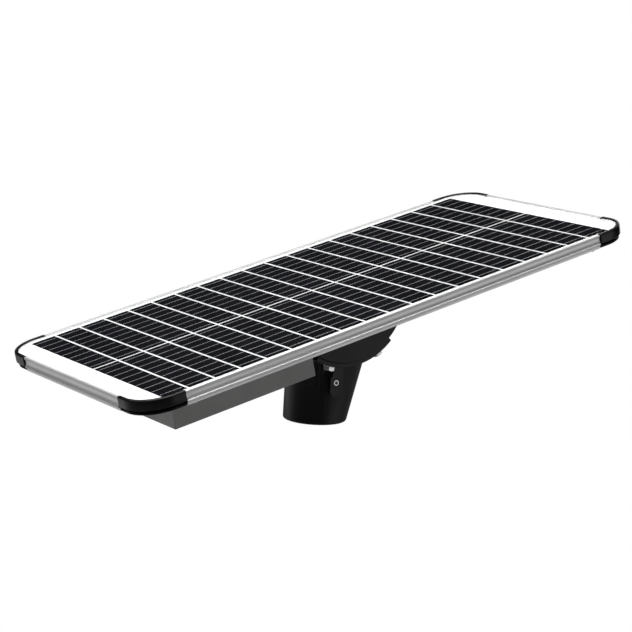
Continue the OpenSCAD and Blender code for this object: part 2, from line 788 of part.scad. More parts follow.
// A slot that lets a clamp bolt travel round the tilt base
module bolt_slot(angle, y) {
    half_slot = bolt_radius + 0.5;
    reach = tilt_each_way + asin(half_slot / drum_radius);
    arc_block(drum_radius - drum_wall - 2, drum_radius + 2, y - half_slot, y + half_slot,
              angle - reach, angle + reach);
}

module drum(radius, width) {
    intersection() {
        rotate([90, 0, 0]) cylinder(r = radius, h = width, center = true, $fn = 96);
        slab(span(0, radius + 1), span(0, width), -radius - 1, frame_bottom);
    }
}

module tilt_base() color(black) in_head() difference() {
    union() {
        drum(drum_radius, drum_width);
        for (s = [-1, 1])
            slab(span(0, lug_length / 2), span(s * (drum_width + lug_width - 2) / 2, (lug_width + 2) / 2),
                 frame_bottom - lug_thickness, frame_bottom);
    }
    intersection() {
        rotate([90, 0, 0]) cylinder(r = drum_radius - drum_wall, h = drum_width - 2 * drum_wall,
                                    center = true, $fn = 96);
        slab(span(0, drum_radius), span(0, drum_width), -drum_radius, frame_bottom + 1);
    }
    for (a = bolt_angles, s = [-1, 1]) bolt_slot(a - rest_tilt, s * bolt_y);
    holes(lug_bolt_points, bolt_radius + 0.25, frame_bottom - lug_thickness, frame_bottom);
}

lug_level = frame_bottom - lug_thickness;

module tilt_base_bolts() color(steel) in_head()
    for (p = lug_bolt_points) translate([p[0], p[1], lug_level - washer_thickness]) {
        translate([0, 0, -head_height]) cylinder(d = hex_across / cos(30), h = head_height, $fn = 6);
        translate([0, 0, -bite]) cylinder(r = bolt_radius, h = bite + washer_thickness + lug_thickness
                                          + back_plate_thickness + mounting_plate_thickness);
    }

module tilt_base_washers() color(steel) in_head()
    for (p = lug_bolt_points) translate([p[0], p[1], lug_level - washer_thickness]) difference() {
        cylinder(r = washer_radius, h = washer_thickness);
        translate([0, 0, -1]) cylinder(r = bolt_radius + 0.25, h = washer_thickness + 2);
    }

// ---- pole sleeve and clamp ----

module sleeve_body() {
    body_height = axis_height - drum_radius + 30;
    lean = body_height * tan(sleeve_lean);
    difference() {
        hull() {
            cylinder(r = sleeve_radius, h = 1, $fn = 64);
            translate([0, 0, body_height - 1]) cylinder(r = sleeve_radius, h = 1, $fn = 64);
            translate([lean, 0, body_height - 1]) cylinder(r = sleeve_radius, h = 1, $fn = 64);
        }
        at_axis() rotate([90, 0, 0]) cylinder(r = saddle_radius + 2, h = 200, center = true, $fn = 96);
    }
}

// The rib that the set screw runs through, with a round lower end
module rib() {
    depth = sleeve_wall + rib_proud;
    rib_top = axis_height - saddle_outer + 2;
    translate([0, -sleeve_radius - rib_proud, rib_start + rib_width / 2])
        rotate([-90, 0, 0]) cylinder(d = rib_width, h = depth);
    slab(span(0, rib_width / 2), [-sleeve_radius - rib_proud, -sleeve_radius - rib_proud + depth],
         rib_start + rib_width / 2, rib_top);
}

module pole_sleeve() color(black) difference() {
    union() {
        sleeve_body();
        at_axis() arc_block(saddle_radius, saddle_outer, -saddle_width / 2, saddle_width / 2,
                            saddle_start, saddle_end);
        rib();
        mirror([0, 1, 0]) rib();
    }
    translate([0, 0, -1]) cylinder(r = socket_radius, h = socket_depth + 1, $fn = 96);
    for (turn = [90, -90])
        translate([0, 0, set_screw_height]) rotate([turn, 0, 0])
            cylinder(r = set_screw_radius + thread_gap, h = sleeve_radius + rib_proud + 1);
    at_axis() for (a = bolt_angles, s = [-1, 1]) {
        radial(a, s * bolt_y, saddle_radius - 2, saddle_outer + 2, bolt_radius + 0.25);
        radial(a, s * bolt_y, seat_radius, saddle_outer + 14, washer_radius + 1);
    }
}

module clamp_bolts() color(steel) at_axis() for (a = bolt_angles, s = [-1, 1]) {
    under_head = seat_radius + washer_thickness;
    radial(a, s * bolt_y, drum_radius - drum_wall - nut_bar_thickness - 3, under_head + bite, bolt_radius);
    radial(a, s * bolt_y, under_head, under_head + head_height, hex_across / 2 / cos(30), 6);
}

module clamp_washers() color(steel) at_axis() for (a = bolt_angles, s = [-1, 1]) difference() {
    radial(a, s * bolt_y, seat_radius, seat_radius + washer_thickness, washer_radius);
    radial(a, s * bolt_y, seat_radius - 1, seat_radius + 3, bolt_radius + 0.25);
}

module clamp_nut_bars() color(steel) at_axis() {
    face = drum_radius - drum_wall - saddle_gap;
    reach = drum_width / 2 - drum_wall - 1;
    for (a = bolt_angles) difference() {
        arc_block(face - nut_bar_thickness, face, -reach, reach, a - 6, a + 6);
        for (s = [-1, 1]) radial(a, s * bolt_y, face - nut_bar_thickness - 2, face + 2, bolt_radius + thread_gap);
    }
}

// A set screw with a hex recess, clear of the socket at rest
module set_screw() {
    translate([0, -socket_radius - slip_gap, set_screw_height]) rotate([90, 0, 0]) difference() {
        cylinder(r = set_screw_radius, h = set_screw_length);
        translate([0, 0, set_screw_length - 3.5]) cylinder(d = 4.6, h = 5, $fn = 6);
    }
}

module set_screw_front() color(steel) set_screw();

module set_screw_rear() color(steel) mirror([0, 1, 0]) set_screw();

frame_rail_front();
frame_rail_rear();
frame_rail_left();
frame_rail_right();
corner_cap_front_left();
corner_cap_front_right();
corner_cap_rear_left();
corner_cap_rear_right();
corner_screws();
panel_glass();
solar_cells();
cell_ribbons();
panel_backsheet();
panel_junction_box();
junction_box_lid();
back_plate();
back_plate_screws();
mounting_plate();
cable_grommet();
housing_shell();
housing_gasket();
housing_screws();
light_plate();
light_plate_screws();
led_board();
led_chips();
lens_gasket();
lens_plate();
lens_frame();
lens_frame_screws();
battery_tray();
battery_cells();
battery_board();
controller_case();
controller_board();
controller_lid();
switch_body();
switch_button();
switch_seal();
switch_nut();
sensor_dome();
sensor_board();
vent_plug();
panel_leads();
battery_leads();
light_leads();
signal_leads();
tilt_base();
tilt_base_bolts();
tilt_base_washers();
pole_sleeve();
clamp_bolts();
clamp_washers();
clamp_nut_bars();
set_screw_front();
set_screw_rear();
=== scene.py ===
"""Looks of an all-in-one solar street lamp on a pole-top sleeve.

A long framed solar panel carries a light and battery box under one half. A half-moon tilt
base under its middle is clamped to the saddle of a cast sleeve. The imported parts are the
fixed frame: this script gives each of them its finish, and stands finer surfaces in for the
parts that show. Sizes in the classes are millimetres; meshes are metres.
"""

import json
import logging
import math
from collections.abc import Callable, Sequence
from dataclasses import dataclass, field
from enum import Enum

import bmesh
import bpy
import numpy as np
from mathutils import Matrix, Vector

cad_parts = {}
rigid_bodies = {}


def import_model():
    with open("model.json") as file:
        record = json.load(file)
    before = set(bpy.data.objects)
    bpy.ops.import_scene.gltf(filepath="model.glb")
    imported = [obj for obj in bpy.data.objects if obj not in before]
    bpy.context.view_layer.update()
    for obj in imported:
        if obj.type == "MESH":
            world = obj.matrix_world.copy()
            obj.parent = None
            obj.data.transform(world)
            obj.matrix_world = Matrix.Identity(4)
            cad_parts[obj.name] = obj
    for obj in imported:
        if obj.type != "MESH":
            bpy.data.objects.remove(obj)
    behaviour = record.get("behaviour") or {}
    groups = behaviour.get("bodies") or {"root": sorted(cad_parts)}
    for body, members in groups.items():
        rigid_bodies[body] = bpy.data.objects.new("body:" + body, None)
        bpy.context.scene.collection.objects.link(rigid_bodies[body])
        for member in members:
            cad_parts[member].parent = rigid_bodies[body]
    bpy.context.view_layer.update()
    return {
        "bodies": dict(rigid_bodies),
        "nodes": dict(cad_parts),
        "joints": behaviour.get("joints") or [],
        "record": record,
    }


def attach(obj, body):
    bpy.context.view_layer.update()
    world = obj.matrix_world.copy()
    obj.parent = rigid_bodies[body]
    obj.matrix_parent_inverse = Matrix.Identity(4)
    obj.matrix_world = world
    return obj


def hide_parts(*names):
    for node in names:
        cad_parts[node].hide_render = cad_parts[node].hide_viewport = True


LOG = logging.getLogger("lamp")
MM = 0.001
REST_TILT = math.radians(15.0)
UP = (0.0, 0.0, 1.0)
DOWN = (0.0, 0.0, -1.0)


# ---- surfaces ----


@dataclass(frozen=True)
class Shape:
    """A closed surface given by its points, its four-sided faces and its end polygons."""

    points: np.ndarray
    quads: np.ndarray
    ends: tuple[np.ndarray, ...] = ()

    def placed(self, frames: np.ndarray) -> "Shape":
        """Copies the surface into each frame.

        A point p lands on frame[:3, :3] p + frame[:3, 3].

        Args:
            frames: one 4 by 4 matrix for each copy.

        Returns:
            One shape that holds every copy.
        """
        count, size = len(frames), len(self.points)
        turned = np.einsum("nij,pj->npi", frames[:, :3, :3], self.points)
        points = (turned + frames[:, None, :3, 3]).reshape(-1, 3)
        shift = np.arange(count)[:, None, None] * size
        quads = (self.quads[None] + shift).reshape(-1, 4)
        ends = tuple(end + k * size for k in range(count) for end in self.ends)
        return Shape(points, quads, ends)


def grid_quads(rows: int, columns: int) -> np.ndarray:
    """Faces of a grid of points whose rows are closed loops."""
    i, j = np.meshgrid(np.arange(rows - 1), np.arange(columns), indexing="ij")
    k = (j + 1) % columns
    corners = [i * columns + j, i * columns + k, (i + 1) * columns + k, (i + 1) * columns + j]
    return np.stack(corners, -1).reshape(-1, 4)


def tube(grid: np.ndarray) -> Shape:
    """A closed surface from rows of points, each row a loop, with both ends closed.

    Args:
        grid: points, by row, place in the row, and axis.

    Returns:
        The surface.
    """
    rows, columns = grid.shape[:2]
    first = np.arange(columns)
    last = first + (rows - 1) * columns
    return Shape(grid.reshape(-1, 3), grid_quads(rows, columns), (first[::-1], last))


def polar(radii: np.ndarray, levels: np.ndarray) -> Shape:
    """A closed surface about the Z axis.

    The point at station i and angle a_j is (r_ij cos a_j, r_ij sin a_j, z_ij).

    Args:
        radii: radius by station and angle.
        levels: height by station and angle, or one height for each station.

    Returns:
        The surface.
    """
    angle = even_angles(radii.shape[1])
    flat = np.broadcast_to(levels, radii.shape)
    return tube(np.stack([radii * np.cos(angle), radii * np.sin(angle), flat], -1))


def even_angles(count: int) -> np.ndarray:
    """Angles evenly spaced round a circle, in radians from 0."""
    return np.arange(count) * 2 * math.pi / count


def turned(radii: np.ndarray, levels: np.ndarray, sides: int = 32) -> Shape:
    """A turned surface, with one radius and one height at each station."""
    return polar(radii[:, None] * np.ones(sides), levels[:, None])


def hexagon(across: float, sides: int = 48) -> np.ndarray:
    """The radius of a hexagon at even angles.

    At angle a it is (across / 2) / cos(a wrapped to 30 degrees each way).
    """
    sixth = math.pi / 3
    wrapped = (even_angles(sides) + sixth / 2) % sixth - sixth / 2
    return across / 2 / np.cos(wrapped)


def rounded_loop(corners: np.ndarray, radii: np.ndarray, steps: int = 5) -> np.ndarray:
    """A closed outline with an arc in place of each corner.

    The arc's centre lies on the bisector of the corner at radius / sin(half the angle), and
    its points turn evenly from one tangent point to the other.

    Args:
        corners: the sharp corners in order.
        radii: the radius at each corner.
        steps: points on each arc.

    Returns:
        The outline's points in order.
    """
    before = np.roll(corners, 1, axis=0) - corners
    after = np.roll(corners, -1, axis=0) - corners
    before /= np.linalg.norm(before, axis=1, keepdims=True)
    after /= np.linalg.norm(after, axis=1, keepdims=True)
    half = np.arccos(np.clip((before * after).sum(1), -0.9999, 0.9999)) / 2
    middle = before + after
    middle /= np.linalg.norm(middle, axis=1, keepdims=True)
    centre = corners + middle * (radii / np.sin(half))[:, None]
    reach = (radii / np.tan(half))[:, None]
    start = corners + before * reach - centre
    end = corners + after * reach - centre
    sweep = (math.pi - 2 * half)[:, None, None]
    t = np.linspace(0, 1, steps)[None, :, None]
    arc = np.sin((1 - t) * sweep) * start[:, None] + np.sin(t * sweep) * end[:, None]
    return (centre[:, None] + arc / np.sin(sweep)).reshape(-1, 2)


def arc_points(
    centre: tuple[float, float], radius: float, start: float, stop: float, steps: int
) -> np.ndarray:
    """Points at centre + radius (cos a, sin a), for a from start to stop in degrees."""
    a = np.radians(np.linspace(start, stop, steps))
    return np.array(centre) + radius * np.stack([np.cos(a), np.sin(a)], -1)


def border(base: np.ndarray, inward: np.ndarray, section: np.ndarray) -> np.ndarray:
    """Carries a cross-section along a border.

    A section point (u, z) at station i lands on (base_i + u inward_i, z).

    Args:
        base: the border's stations in plan.
        inward: the unit direction towards the inside at each station.
        section: (inset, height) points, or one set of them for each station.

    Returns:
        Points by station and place in the section.
    """
    inset, level = section[..., 0], section[..., 1]
    shape = (len(base), section.shape[-2])
    plan = base[:, None] + inward[:, None] * np.broadcast_to(inset, shape)[..., None]
    return np.concatenate([plan, np.broadcast_to(level, shape)[..., None]], -1)


def blocks(low: np.ndarray, high: np.ndarray) -> Shape:
    """Plain blocks between rows of lowest and highest corners."""
    pick = np.array([[0, 0, 0], [1, 0, 0], [1, 1, 0], [0, 1, 0]])
    loops = np.stack([pick, pick + [0, 0, 1]])
    span = (high - low)[:, None, None]
    points = low[:, None, None] + loops[None] * span
    single = tube(loops.astype(float))
    count = len(low)
    quads = (single.quads[None] + np.arange(count)[:, None, None] * 8).reshape(-1, 4)
    lids = np.stack(single.ends)[None] + np.arange(count)[:, None, None] * 8
    return Shape(points.reshape(-1, 3), np.concatenate([quads, lids.reshape(-1, 4)]))


# ---- objects ----


def mesh_object(name: str, shape: Shape, sharp: float = 35.0) -> bpy.types.Object:
    """Makes an object from a shape, with its faces outward and its creases kept.

    Args:
        name: the piece's name.
        shape: points in metres, in the row's frame.
        sharp: edges that turn more than this many degrees stay creased.

    Returns:
        The new object.
    """
    mesh = bpy.data.meshes.new(name)
    faces = shape.quads.tolist() + [end.tolist() for end in shape.ends]
    mesh.from_pydata(shape.points, [], faces)
    facing = bmesh.new()
    facing.from_mesh(mesh)
    if facing.calc_volume(signed=True) < 0:
        bmesh.ops.reverse_faces(facing, faces=facing.faces)
    facing.to_mesh(mesh)
    facing.free()
    mesh.shade_smooth()
    mesh.set_sharp_from_angle(angle=math.radians(sharp))
    piece = bpy.data.objects.new(name, mesh)
    bpy.context.scene.collection.objects.link(piece)
    return piece


def float_attribute(piece: bpy.types.Object, name: str, values: np.ndarray) -> None:
    """Gives each point of a piece a number that its material reads."""
    layer = piece.data.attributes.new(name, "FLOAT", "POINT")
    layer.data.foreach_set("value", values.astype(np.float32))


def bevelled(piece: bpy.types.Object, width: float, limit: str = "ANGLE", steps: int = 2) -> None:
    """Rounds a piece's edges by a width in millimetres."""
    rounding = piece.modifiers.new("rounding_" + limit.lower(), "BEVEL")
    rounding.limit_method = limit
    rounding.angle_limit = math.radians(38)
    rounding.width = width * MM
    rounding.segments = steps
    rounding.use_clamp_overlap = False
    rounding.harden_normals = False
    rounding.miter_outer = "MITER_ARC"


def solid_boxes(node: str, to_local: np.ndarray) -> tuple[np.ndarray, np.ndarray]:
    """Lowest and highest corner of each separate solid of a CAD node.

    Points that share an edge take the lowest label of the two until nothing changes.

    Args:
        node: the CAD node's name.
        to_local: the 4 by 4 matrix into the frame the boxes are wanted in.

    Returns:
        Two arrays of corners in that frame, in metres.
    """
    mesh = FRAME_PARTS[node].data
    points = np.zeros(len(mesh.vertices) * 3)
    mesh.vertices.foreach_get("co", points)
    points = points.reshape(-1, 3)
    edges = np.zeros(len(mesh.edges) * 2, int)
    mesh.edges.foreach_get("vertices", edges)
    _, same = np.unique(np.round(points, 6), axis=0, return_inverse=True)
    ends = same.reshape(-1)[edges.reshape(-1, 2)]
    label = np.arange(same.max() + 1)
    while True:
        lowest = label.copy()
        pair = np.minimum(label[ends[:, 0]], label[ends[:, 1]])
        np.minimum.at(lowest, ends[:, 0], pair)
        np.minimum.at(lowest, ends[:, 1], pair)
        if (lowest == label).all():
            break
        label = lowest
    group = label[same.reshape(-1)]
    local = points @ to_local[:3, :3].T + to_local[:3, 3]
    members = [local[group == g] for g in np.unique(group)]
    return np.array([m.min(0) for m in members]), np.array([m.max(0) for m in members])


FRAME_PARTS: dict[str, bpy.types.Object] = {}


class Body(Enum):
    """The bodies that the pieces ride on."""

    SLEEVE = "sleeve"
    HEAD = "lamp_head"
    FRONT_SCREW = "front_screw"
    REAR_SCREW = "rear_screw"
    BUTTON = "button"


def stand_in(piece: bpy.types.Object, body: Body, material: bpy.types.Material,
             slot: str, *nodes: str) -> None:
    """Puts a finished piece in the place of CAD nodes.

    Args:
        piece: the finished piece.
        body: the body it rides on.
        material: its finish.
        slot: the record's material slot; not used.
        nodes: the CAD nodes it replaces.
    """
    piece.data.materials.clear()
    piece.data.materials.append(material)
    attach(piece, body.value)
    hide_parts(*nodes)
    LOG.info("%s stands for %s", piece.name, ", ".join(nodes))


def dressed(node: str, material: bpy.types.Material) -> None:
    """Gives a CAD node its finish."""
    part = FRAME_PARTS[node]
    part.data.materials.clear()
    part.data.materials.append(material)
    LOG.info("%s keeps its shape", node)


def edged_copy(
    node: str,
    width: float,
    sharp: float = 30.0,
    heavy: Callable[[np.ndarray], np.ndarray] | None = None,
    heavy_width: float = 0.0,
) -> bpy.types.Object:
    """A smooth copy of a CAD node, with softened edges.

    Args:
        node: the CAD node's name.
        width: the softening in millimetres, or 0 for none.
        sharp: edges that turn more than this many degrees stay creased.
        heavy: tells from edge middles, in metres, which edges are rounded more.
        heavy_width: the width of that rounding in millimetres.

    Returns:
        The new object.
    """
    mesh = bpy.data.meshes.new(node + "_finished")
    shell = bmesh.new()
    shell.from_mesh(FRAME_PARTS[node].data)
    bmesh.ops.remove_doubles(shell, verts=shell.verts, dist=2e-6)
    bmesh.ops.dissolve_degenerate(shell, edges=shell.edges, dist=1e-6)
    bmesh.ops.dissolve_limit(
        shell, angle_limit=math.radians(0.6), verts=shell.verts, edges=shell.edges
    )
    shell.to_mesh(mesh)
    shell.free()
    mesh.shade_smooth()
    mesh.set_sharp_from_angle(angle=math.radians(sharp))
    piece = bpy.data.objects.new(node + "_finished", mesh)
    bpy.context.scene.collection.objects.link(piece)
    if heavy is not None:
        points = np.zeros(len(mesh.vertices) * 3)
        mesh.vertices.foreach_get("co", points)
        edges = np.zeros(len(mesh.edges) * 2, int)
        mesh.edges.foreach_get("vertices", edges)
        middles = points.reshape(-1, 3)[edges.reshape(-1, 2)].mean(1)
        weight = mesh.attributes.new("bevel_weight_edge", "FLOAT", "EDGE")
        weight.data.foreach_set("value", heavy(middles).astype(np.float32))
        bevelled(piece, heavy_width, "WEIGHT", 4)
    if width > 0:
        bevelled(piece, width)
    return piece


# ---- shader trees ----


Triple = tuple[float, float, float]
Colour = tuple[float, float, float, float]
Socket = bpy.types.NodeSocket
Feed = Socket | float | Triple | Colour


class Graph:
    """A shader tree, with one short call for each node and its links."""

    def __init__(self, tree: bpy.types.NodeTree) -> None:
        """Takes the tree to build in."""
        self.tree = tree

    def feed(self, node: bpy.types.Node, inputs: dict[str | int, Feed]) -> None:
        """Gives a node's named or numbered inputs a value or another node's socket."""
        for name, value in inputs.items():
            if isinstance(value, Socket):
                self.tree.links.new(value, node.inputs[name])
            else:
                node.inputs[name].default_value = value

    def add(self, kind: str, inputs: dict[str | int, Feed] | None = None,
            **settings: object) -> bpy.types.Node:
        """Adds a node.

        Args:
            kind: the node's type.
            inputs: a value or another node's socket for each named or numbered input.
            settings: the node's own options.

        Returns:
            The node.
        """
        node = self.tree.nodes.new(kind)
        for name, value in settings.items():
            setattr(node, name, value)
        self.feed(node, inputs or {})
        return node

    def math(self, operation: str, *values: Feed) -> Socket:
        """A Math node's result."""
        return self.add("ShaderNodeMath", dict(enumerate(values)), operation=operation).outputs[0]

    def remap(self, value: Feed, low: float, high: float, to_low: float,
              to_high: float) -> Socket:
        """A value moved from one range to another."""
        limits = {"Value": value, "From Min": low, "From Max": high,
                  "To Min": to_low, "To Max": to_high}
        return self.add("ShaderNodeMapRange", limits).outputs["Result"]

    def mix(self, share: Feed, first: Feed, second: Feed) -> Socket:
        """Two colours mixed by a share; numbers 6 and 7 are the node's colour inputs."""
        inputs = {0: share, 6: first, 7: second}
        return self.add("ShaderNodeMix", inputs, data_type="RGBA").outputs[2]

    def group(self, tree: bpy.types.NodeTree, **inputs: Feed) -> bpy.types.Node:
        """Places a node group, with its inputs by name."""
        named = {name.capitalize(): value for name, value in inputs.items()}
        return self.add("ShaderNodeGroup", named, node_tree=tree)

    def place(self) -> Socket:
        """A point's place in its piece's own coordinates."""
        return self.add("ShaderNodeTexCoord").outputs["Object"]

    def turned_place(self, turn: Feed, size: Feed) -> Socket:
        """The place in a frame turned by an angle, with a size as its unit along each axis."""
        inputs = {"Vector": self.place(), "Rotation": turn, "Scale": size}
        return self.add("ShaderNodeMapping", inputs, vector_type="TEXTURE").outputs[0]

    def noise(self, place: Socket, scale: Feed, detail: float = 2.0,
              distortion: float = 0.0) -> Socket:
        """Soft noise at a place."""
        inputs = {"Vector": place, "Scale": scale, "Detail": detail, "Distortion": distortion}
        return self.add("ShaderNodeTexNoise", inputs).outputs[0]

    def blend(self, share: Feed, first: bpy.types.Node,
              second: bpy.types.Node) -> bpy.types.Node:
        """Two shaders mixed by a share."""
        inputs = {0: share, 1: first.outputs[0], 2: second.outputs[0]}
        return self.add("ShaderNodeMixShader", inputs)


class Effects:
    """The effects that several finishes share, each one a node group built once."""

    def __init__(self) -> None:
        """Builds every group."""
        self.grain = self._grain()
        self.peel = self._peel()
        self.smudges = self._smudges()
        self.rub = self._rub()

    @staticmethod
    def _tree(name: str, inputs: dict[str, object],
              outputs: Sequence[str]) -> tuple[Graph, bpy.types.Node, bpy.types.Node]:
        """Starts a group.

        Args:
            name: the group's name.
            inputs: the first value of each input, a number or a vector of three.
            outputs: the names of the values it puts out.

        Returns:
            The graph, its input node and its output node.
        """
        tree = bpy.data.node_groups.new(name, "ShaderNodeTree")
        for label, value in inputs.items():
            kind = "NodeSocketVector" if isinstance(value, tuple) else "NodeSocketFloat"
            socket = tree.interface.new_socket(label, in_out="INPUT", socket_type=kind)
            socket.default_value = value
        for label in outputs:
            tree.interface.new_socket(label, in_out="OUTPUT", socket_type="NodeSocketFloat")
        graph = Graph(tree)
        return graph, graph.add("NodeGroupInput"), graph.add("NodeGroupOutput")

    def _grain(self) -> bpy.types.NodeTree:
        """Streaks drawn out along one direction, as a brush or a die leaves them."""
        graph, given, out = self._tree(
            "drawn_grain", {"Turn": (0.0, 0.0, 0.0), "Size": (0.1, 0.001, 0.001)},
            ("Fine", "Broad"),
        )
        place = graph.turned_place(given.outputs["Turn"], given.outputs["Size"])
        for label, scale in (("Fine", 1.0), ("Broad", 0.13)):
            graph.feed(out, {label: graph.noise(place, scale, 3.0)})
        return graph.tree

    def _peel(self) -> bpy.types.NodeTree:
        """The soft pebbles of a powder coat or a moulded skin."""
        graph, given, out = self._tree("pebbled_skin", {"Size": 0.001}, ("Height", "Tone"))
        place = graph.place()
        scale = graph.math("DIVIDE", 1.0, given.outputs["Size"])
        pebbles = graph.add(
            "ShaderNodeTexVoronoi",
            {"Vector": place, "Scale": scale, "Smoothness": 0.8},
            feature="SMOOTH_F1",
        )
        soft = graph.noise(place, scale)
        wide = graph.math("MULTIPLY", scale, 0.02)
        graph.feed(out, {
            "Height": graph.math("SUBTRACT", soft, pebbles.outputs["Distance"]),
            "Tone": graph.noise(place, wide, 3.0),
        })
        return graph.tree

    def _smudges(self) -> bpy.types.NodeTree:
        """Soft patches of handling marks and dust."""
        graph, given, out = self._tree("smudges", {"Size": 0.06}, ("Mask", "Dust"))
        place = graph.place()
        scale = graph.math("DIVIDE", 1.0, given.outputs["Size"])
        patches = graph.noise(place, scale, 4.0, 0.6)
        specks = graph.noise(place, graph.math("MULTIPLY", scale, 60.0))
        graph.feed(out, {
            "Mask": graph.remap(patches, 0.45, 0.75, 0.0, 1.0),
            "Dust": graph.remap(specks, 0.62, 0.78, 0.0, 1.0),
        })
        return graph.tree

    def _rub(self) -> bpy.types.NodeTree:
        """Edges where handling has polished the finish, broken up by noise."""
        graph, given, out = self._tree("rubbed_edges", {"Width": 0.001}, ("Mask",))
        soft = graph.add("ShaderNodeBevel", {"Radius": given.outputs["Width"]}, samples=4)
        true = graph.add("ShaderNodeNewGeometry").outputs["Normal"]
        along = graph.add(
            "ShaderNodeVectorMath", {0: soft.outputs[0], 1: true}, operation="DOT_PRODUCT"
        )
        edge = graph.remap(along.outputs["Value"], 0.995, 0.90, 0.0, 1.0)
        broken = graph.remap(graph.noise(graph.place(), 220.0), 0.35, 0.65, 0.25, 1.0)
        graph.feed(out, {"Mask": graph.math("MULTIPLY", edge, broken)})
        return graph.tree


def grey(value: float, warm: float = 0.0) -> Colour:
    """A grey, made a little warmer or, below nought, cooler."""
    return (value * (1 + warm), value, value * (1 - warm), 1.0)


def started(name: str) -> tuple[Graph, bpy.types.Node, bpy.types.Material]:
    """Starts a material with a Principled shader on its output."""
    material = bpy.data.materials.new(name)
    material.use_nodes = True
    graph = Graph(material.node_tree)
    return graph, material.node_tree.nodes["Principled BSDF"], material


def shade(colour: Colour, factor: float, lift: float = 0.0) -> Colour:
    """A colour times a factor and then lifted, at most to white."""
    return tuple(min(1.0, part * factor + lift) for part in colour[:3]) + (1.0,)


def bumped(graph: Graph, shader: bpy.types.Node, height: Socket, strength: float,
           depth: float) -> None:
    """Feeds a height into a shader's normal."""
    bump = graph.add(
        "ShaderNodeBump", {"Height": height, "Strength": strength, "Distance": depth * MM}
    )
    graph.feed(shader, {"Normal": bump.outputs[0]})


@dataclass(frozen=True)
class DrawnMetal:
    """Metal with fine lines along one direction, and soft handling marks."""

    name: str
    colour: Colour
    roughness: float
    size: tuple[float, float, float]
    turn: tuple[float, float, float] = (0.0, 0.0, 0.0)
    contrast: float = 0.10
    depth: float = 0.02
    marks: float = 0.09
    fine_share: float = 0.6

    def build(self, effects: Effects) -> bpy.types.Material:
        """Builds the material."""
        graph, shader, material = started(self.name)
        grain = graph.group(effects.grain, turn=self.turn, size=self.size)
        marks = graph.group(effects.smudges, size=self.marks)
        streaks = graph.math(
            "ADD", graph.math("MULTIPLY", grain.outputs["Fine"], self.fine_share),
            graph.math("MULTIPLY", grain.outputs["Broad"], 1 - self.fine_share),
        )
        tone = graph.remap(streaks, 0.3, 0.7, 0.0, 1.0)
        rough = graph.remap(streaks, 0.3, 0.7, self.roughness - 0.05, self.roughness + 0.06)
        worn = graph.math("MULTIPLY", marks.outputs["Mask"], 0.05)
        graph.feed(shader, {
            "Base Color": graph.mix(tone, shade(self.colour, 1 - self.contrast), self.colour),
            "Roughness": graph.math("ADD", rough, worn),
            "Metallic": 1.0,
        })
        bumped(graph, shader, grain.outputs["Fine"], 0.35, self.depth)
        return material


@dataclass(frozen=True)
class CoatedMetal:
    """A powder coat over metal, with an orange peel and paler rubbed edges."""

    name: str
    colour: Colour
    roughness: float
    pebble: float = 0.9
    depth: float = 0.03
    edge: float = 0.15
    specular: float = 0.5
    rub_width: float = 0.8

    def build(self, effects: Effects) -> bpy.types.Material:
        """Builds the material."""
        graph, shader, material = started(self.name)
        skin = graph.group(effects.peel, size=self.pebble * MM)
        marks = graph.group(effects.smudges, size=0.05)
        rub = graph.group(effects.rub, width=self.rub_width * MM)
        share = graph.remap(skin.outputs["Tone"], 0.3, 0.7, 0, 1)
        tone = graph.mix(share, shade(self.colour, 0.86), self.colour)
        edge = graph.math("MULTIPLY", rub.outputs["Mask"], self.edge)
        rough = graph.remap(marks.outputs["Mask"], 0, 1, self.roughness, self.roughness + 0.07)
        smooth = graph.math("MULTIPLY", rub.outputs["Mask"], -0.08)
        graph.feed(shader, {
            "Base Color": graph.mix(edge, tone, shade(self.colour, 1.5, 0.01)),
            "Roughness": graph.math("ADD", rough, smooth),
            "Specular IOR Level": self.specular,
        })
        bumped(graph, shader, skin.outputs["Height"], 0.4, self.depth)
        return material


@dataclass(frozen=True)
class MouldedPlastic:
    """Moulded plastic or rubber with a fine spark texture and faint handling marks."""

    name: str
    colour: Colour
    roughness: float
    pebble: float = 0.35
    depth: float = 0.012
    specular: float = 0.5
    dust: float = 0.10

    def build(self, effects: Effects) -> bpy.types.Material:
        """Builds the material."""
        graph, shader, material = started(self.name)
        skin = graph.group(effects.peel, size=self.pebble * MM)
        marks = graph.group(effects.smudges, size=0.04)
        share = graph.remap(skin.outputs["Tone"], 0.3, 0.7, 0, 1)
        tone = graph.mix(share, shade(self.colour, 0.88), self.colour)
        dust = graph.math("MULTIPLY", marks.outputs["Dust"], self.dust)
        rough = graph.remap(marks.outputs["Mask"], 0, 1, self.roughness, self.roughness + 0.08)
        graph.feed(shader, {
            "Base Color": graph.mix(dust, tone, shade(self.colour, 1.3, 0.01)),
            "Roughness": rough,
            "Specular IOR Level": self.specular,
        })
        bumped(graph, shader, skin.outputs["Height"], 0.35, self.depth)
        return material


@dataclass(frozen=True)
class ClearSheet:
    """Clear glass or lens plastic that lets the lamps light what lies under it."""

    name: str
    tint: Colour
    roughness: float
    index: float

    def build(self, effects: Effects) -> bpy.types.Material:
        """Builds the material."""
        graph, shader, material = started(self.name)
        marks = graph.group(effects.smudges, size=0.12)
        rough = graph.remap(marks.outputs["Mask"], 0, 1, self.roughness, self.roughness + 0.03)
        graph.feed(shader, {
            "Roughness": rough,
            "Base Color": self.tint,
            "Transmission Weight": 1.0,
            "IOR": self.index,
        })
        shadow = graph.add("ShaderNodeLightPath").outputs["Is Shadow Ray"]
        open_air = graph.add("ShaderNodeBsdfTransparent", {"Color": self.tint})
        surface = graph.blend(shadow, shader, open_air).outputs[0]
        graph.feed(material.node_tree.nodes["Material Output"], {"Surface": surface})
        return material


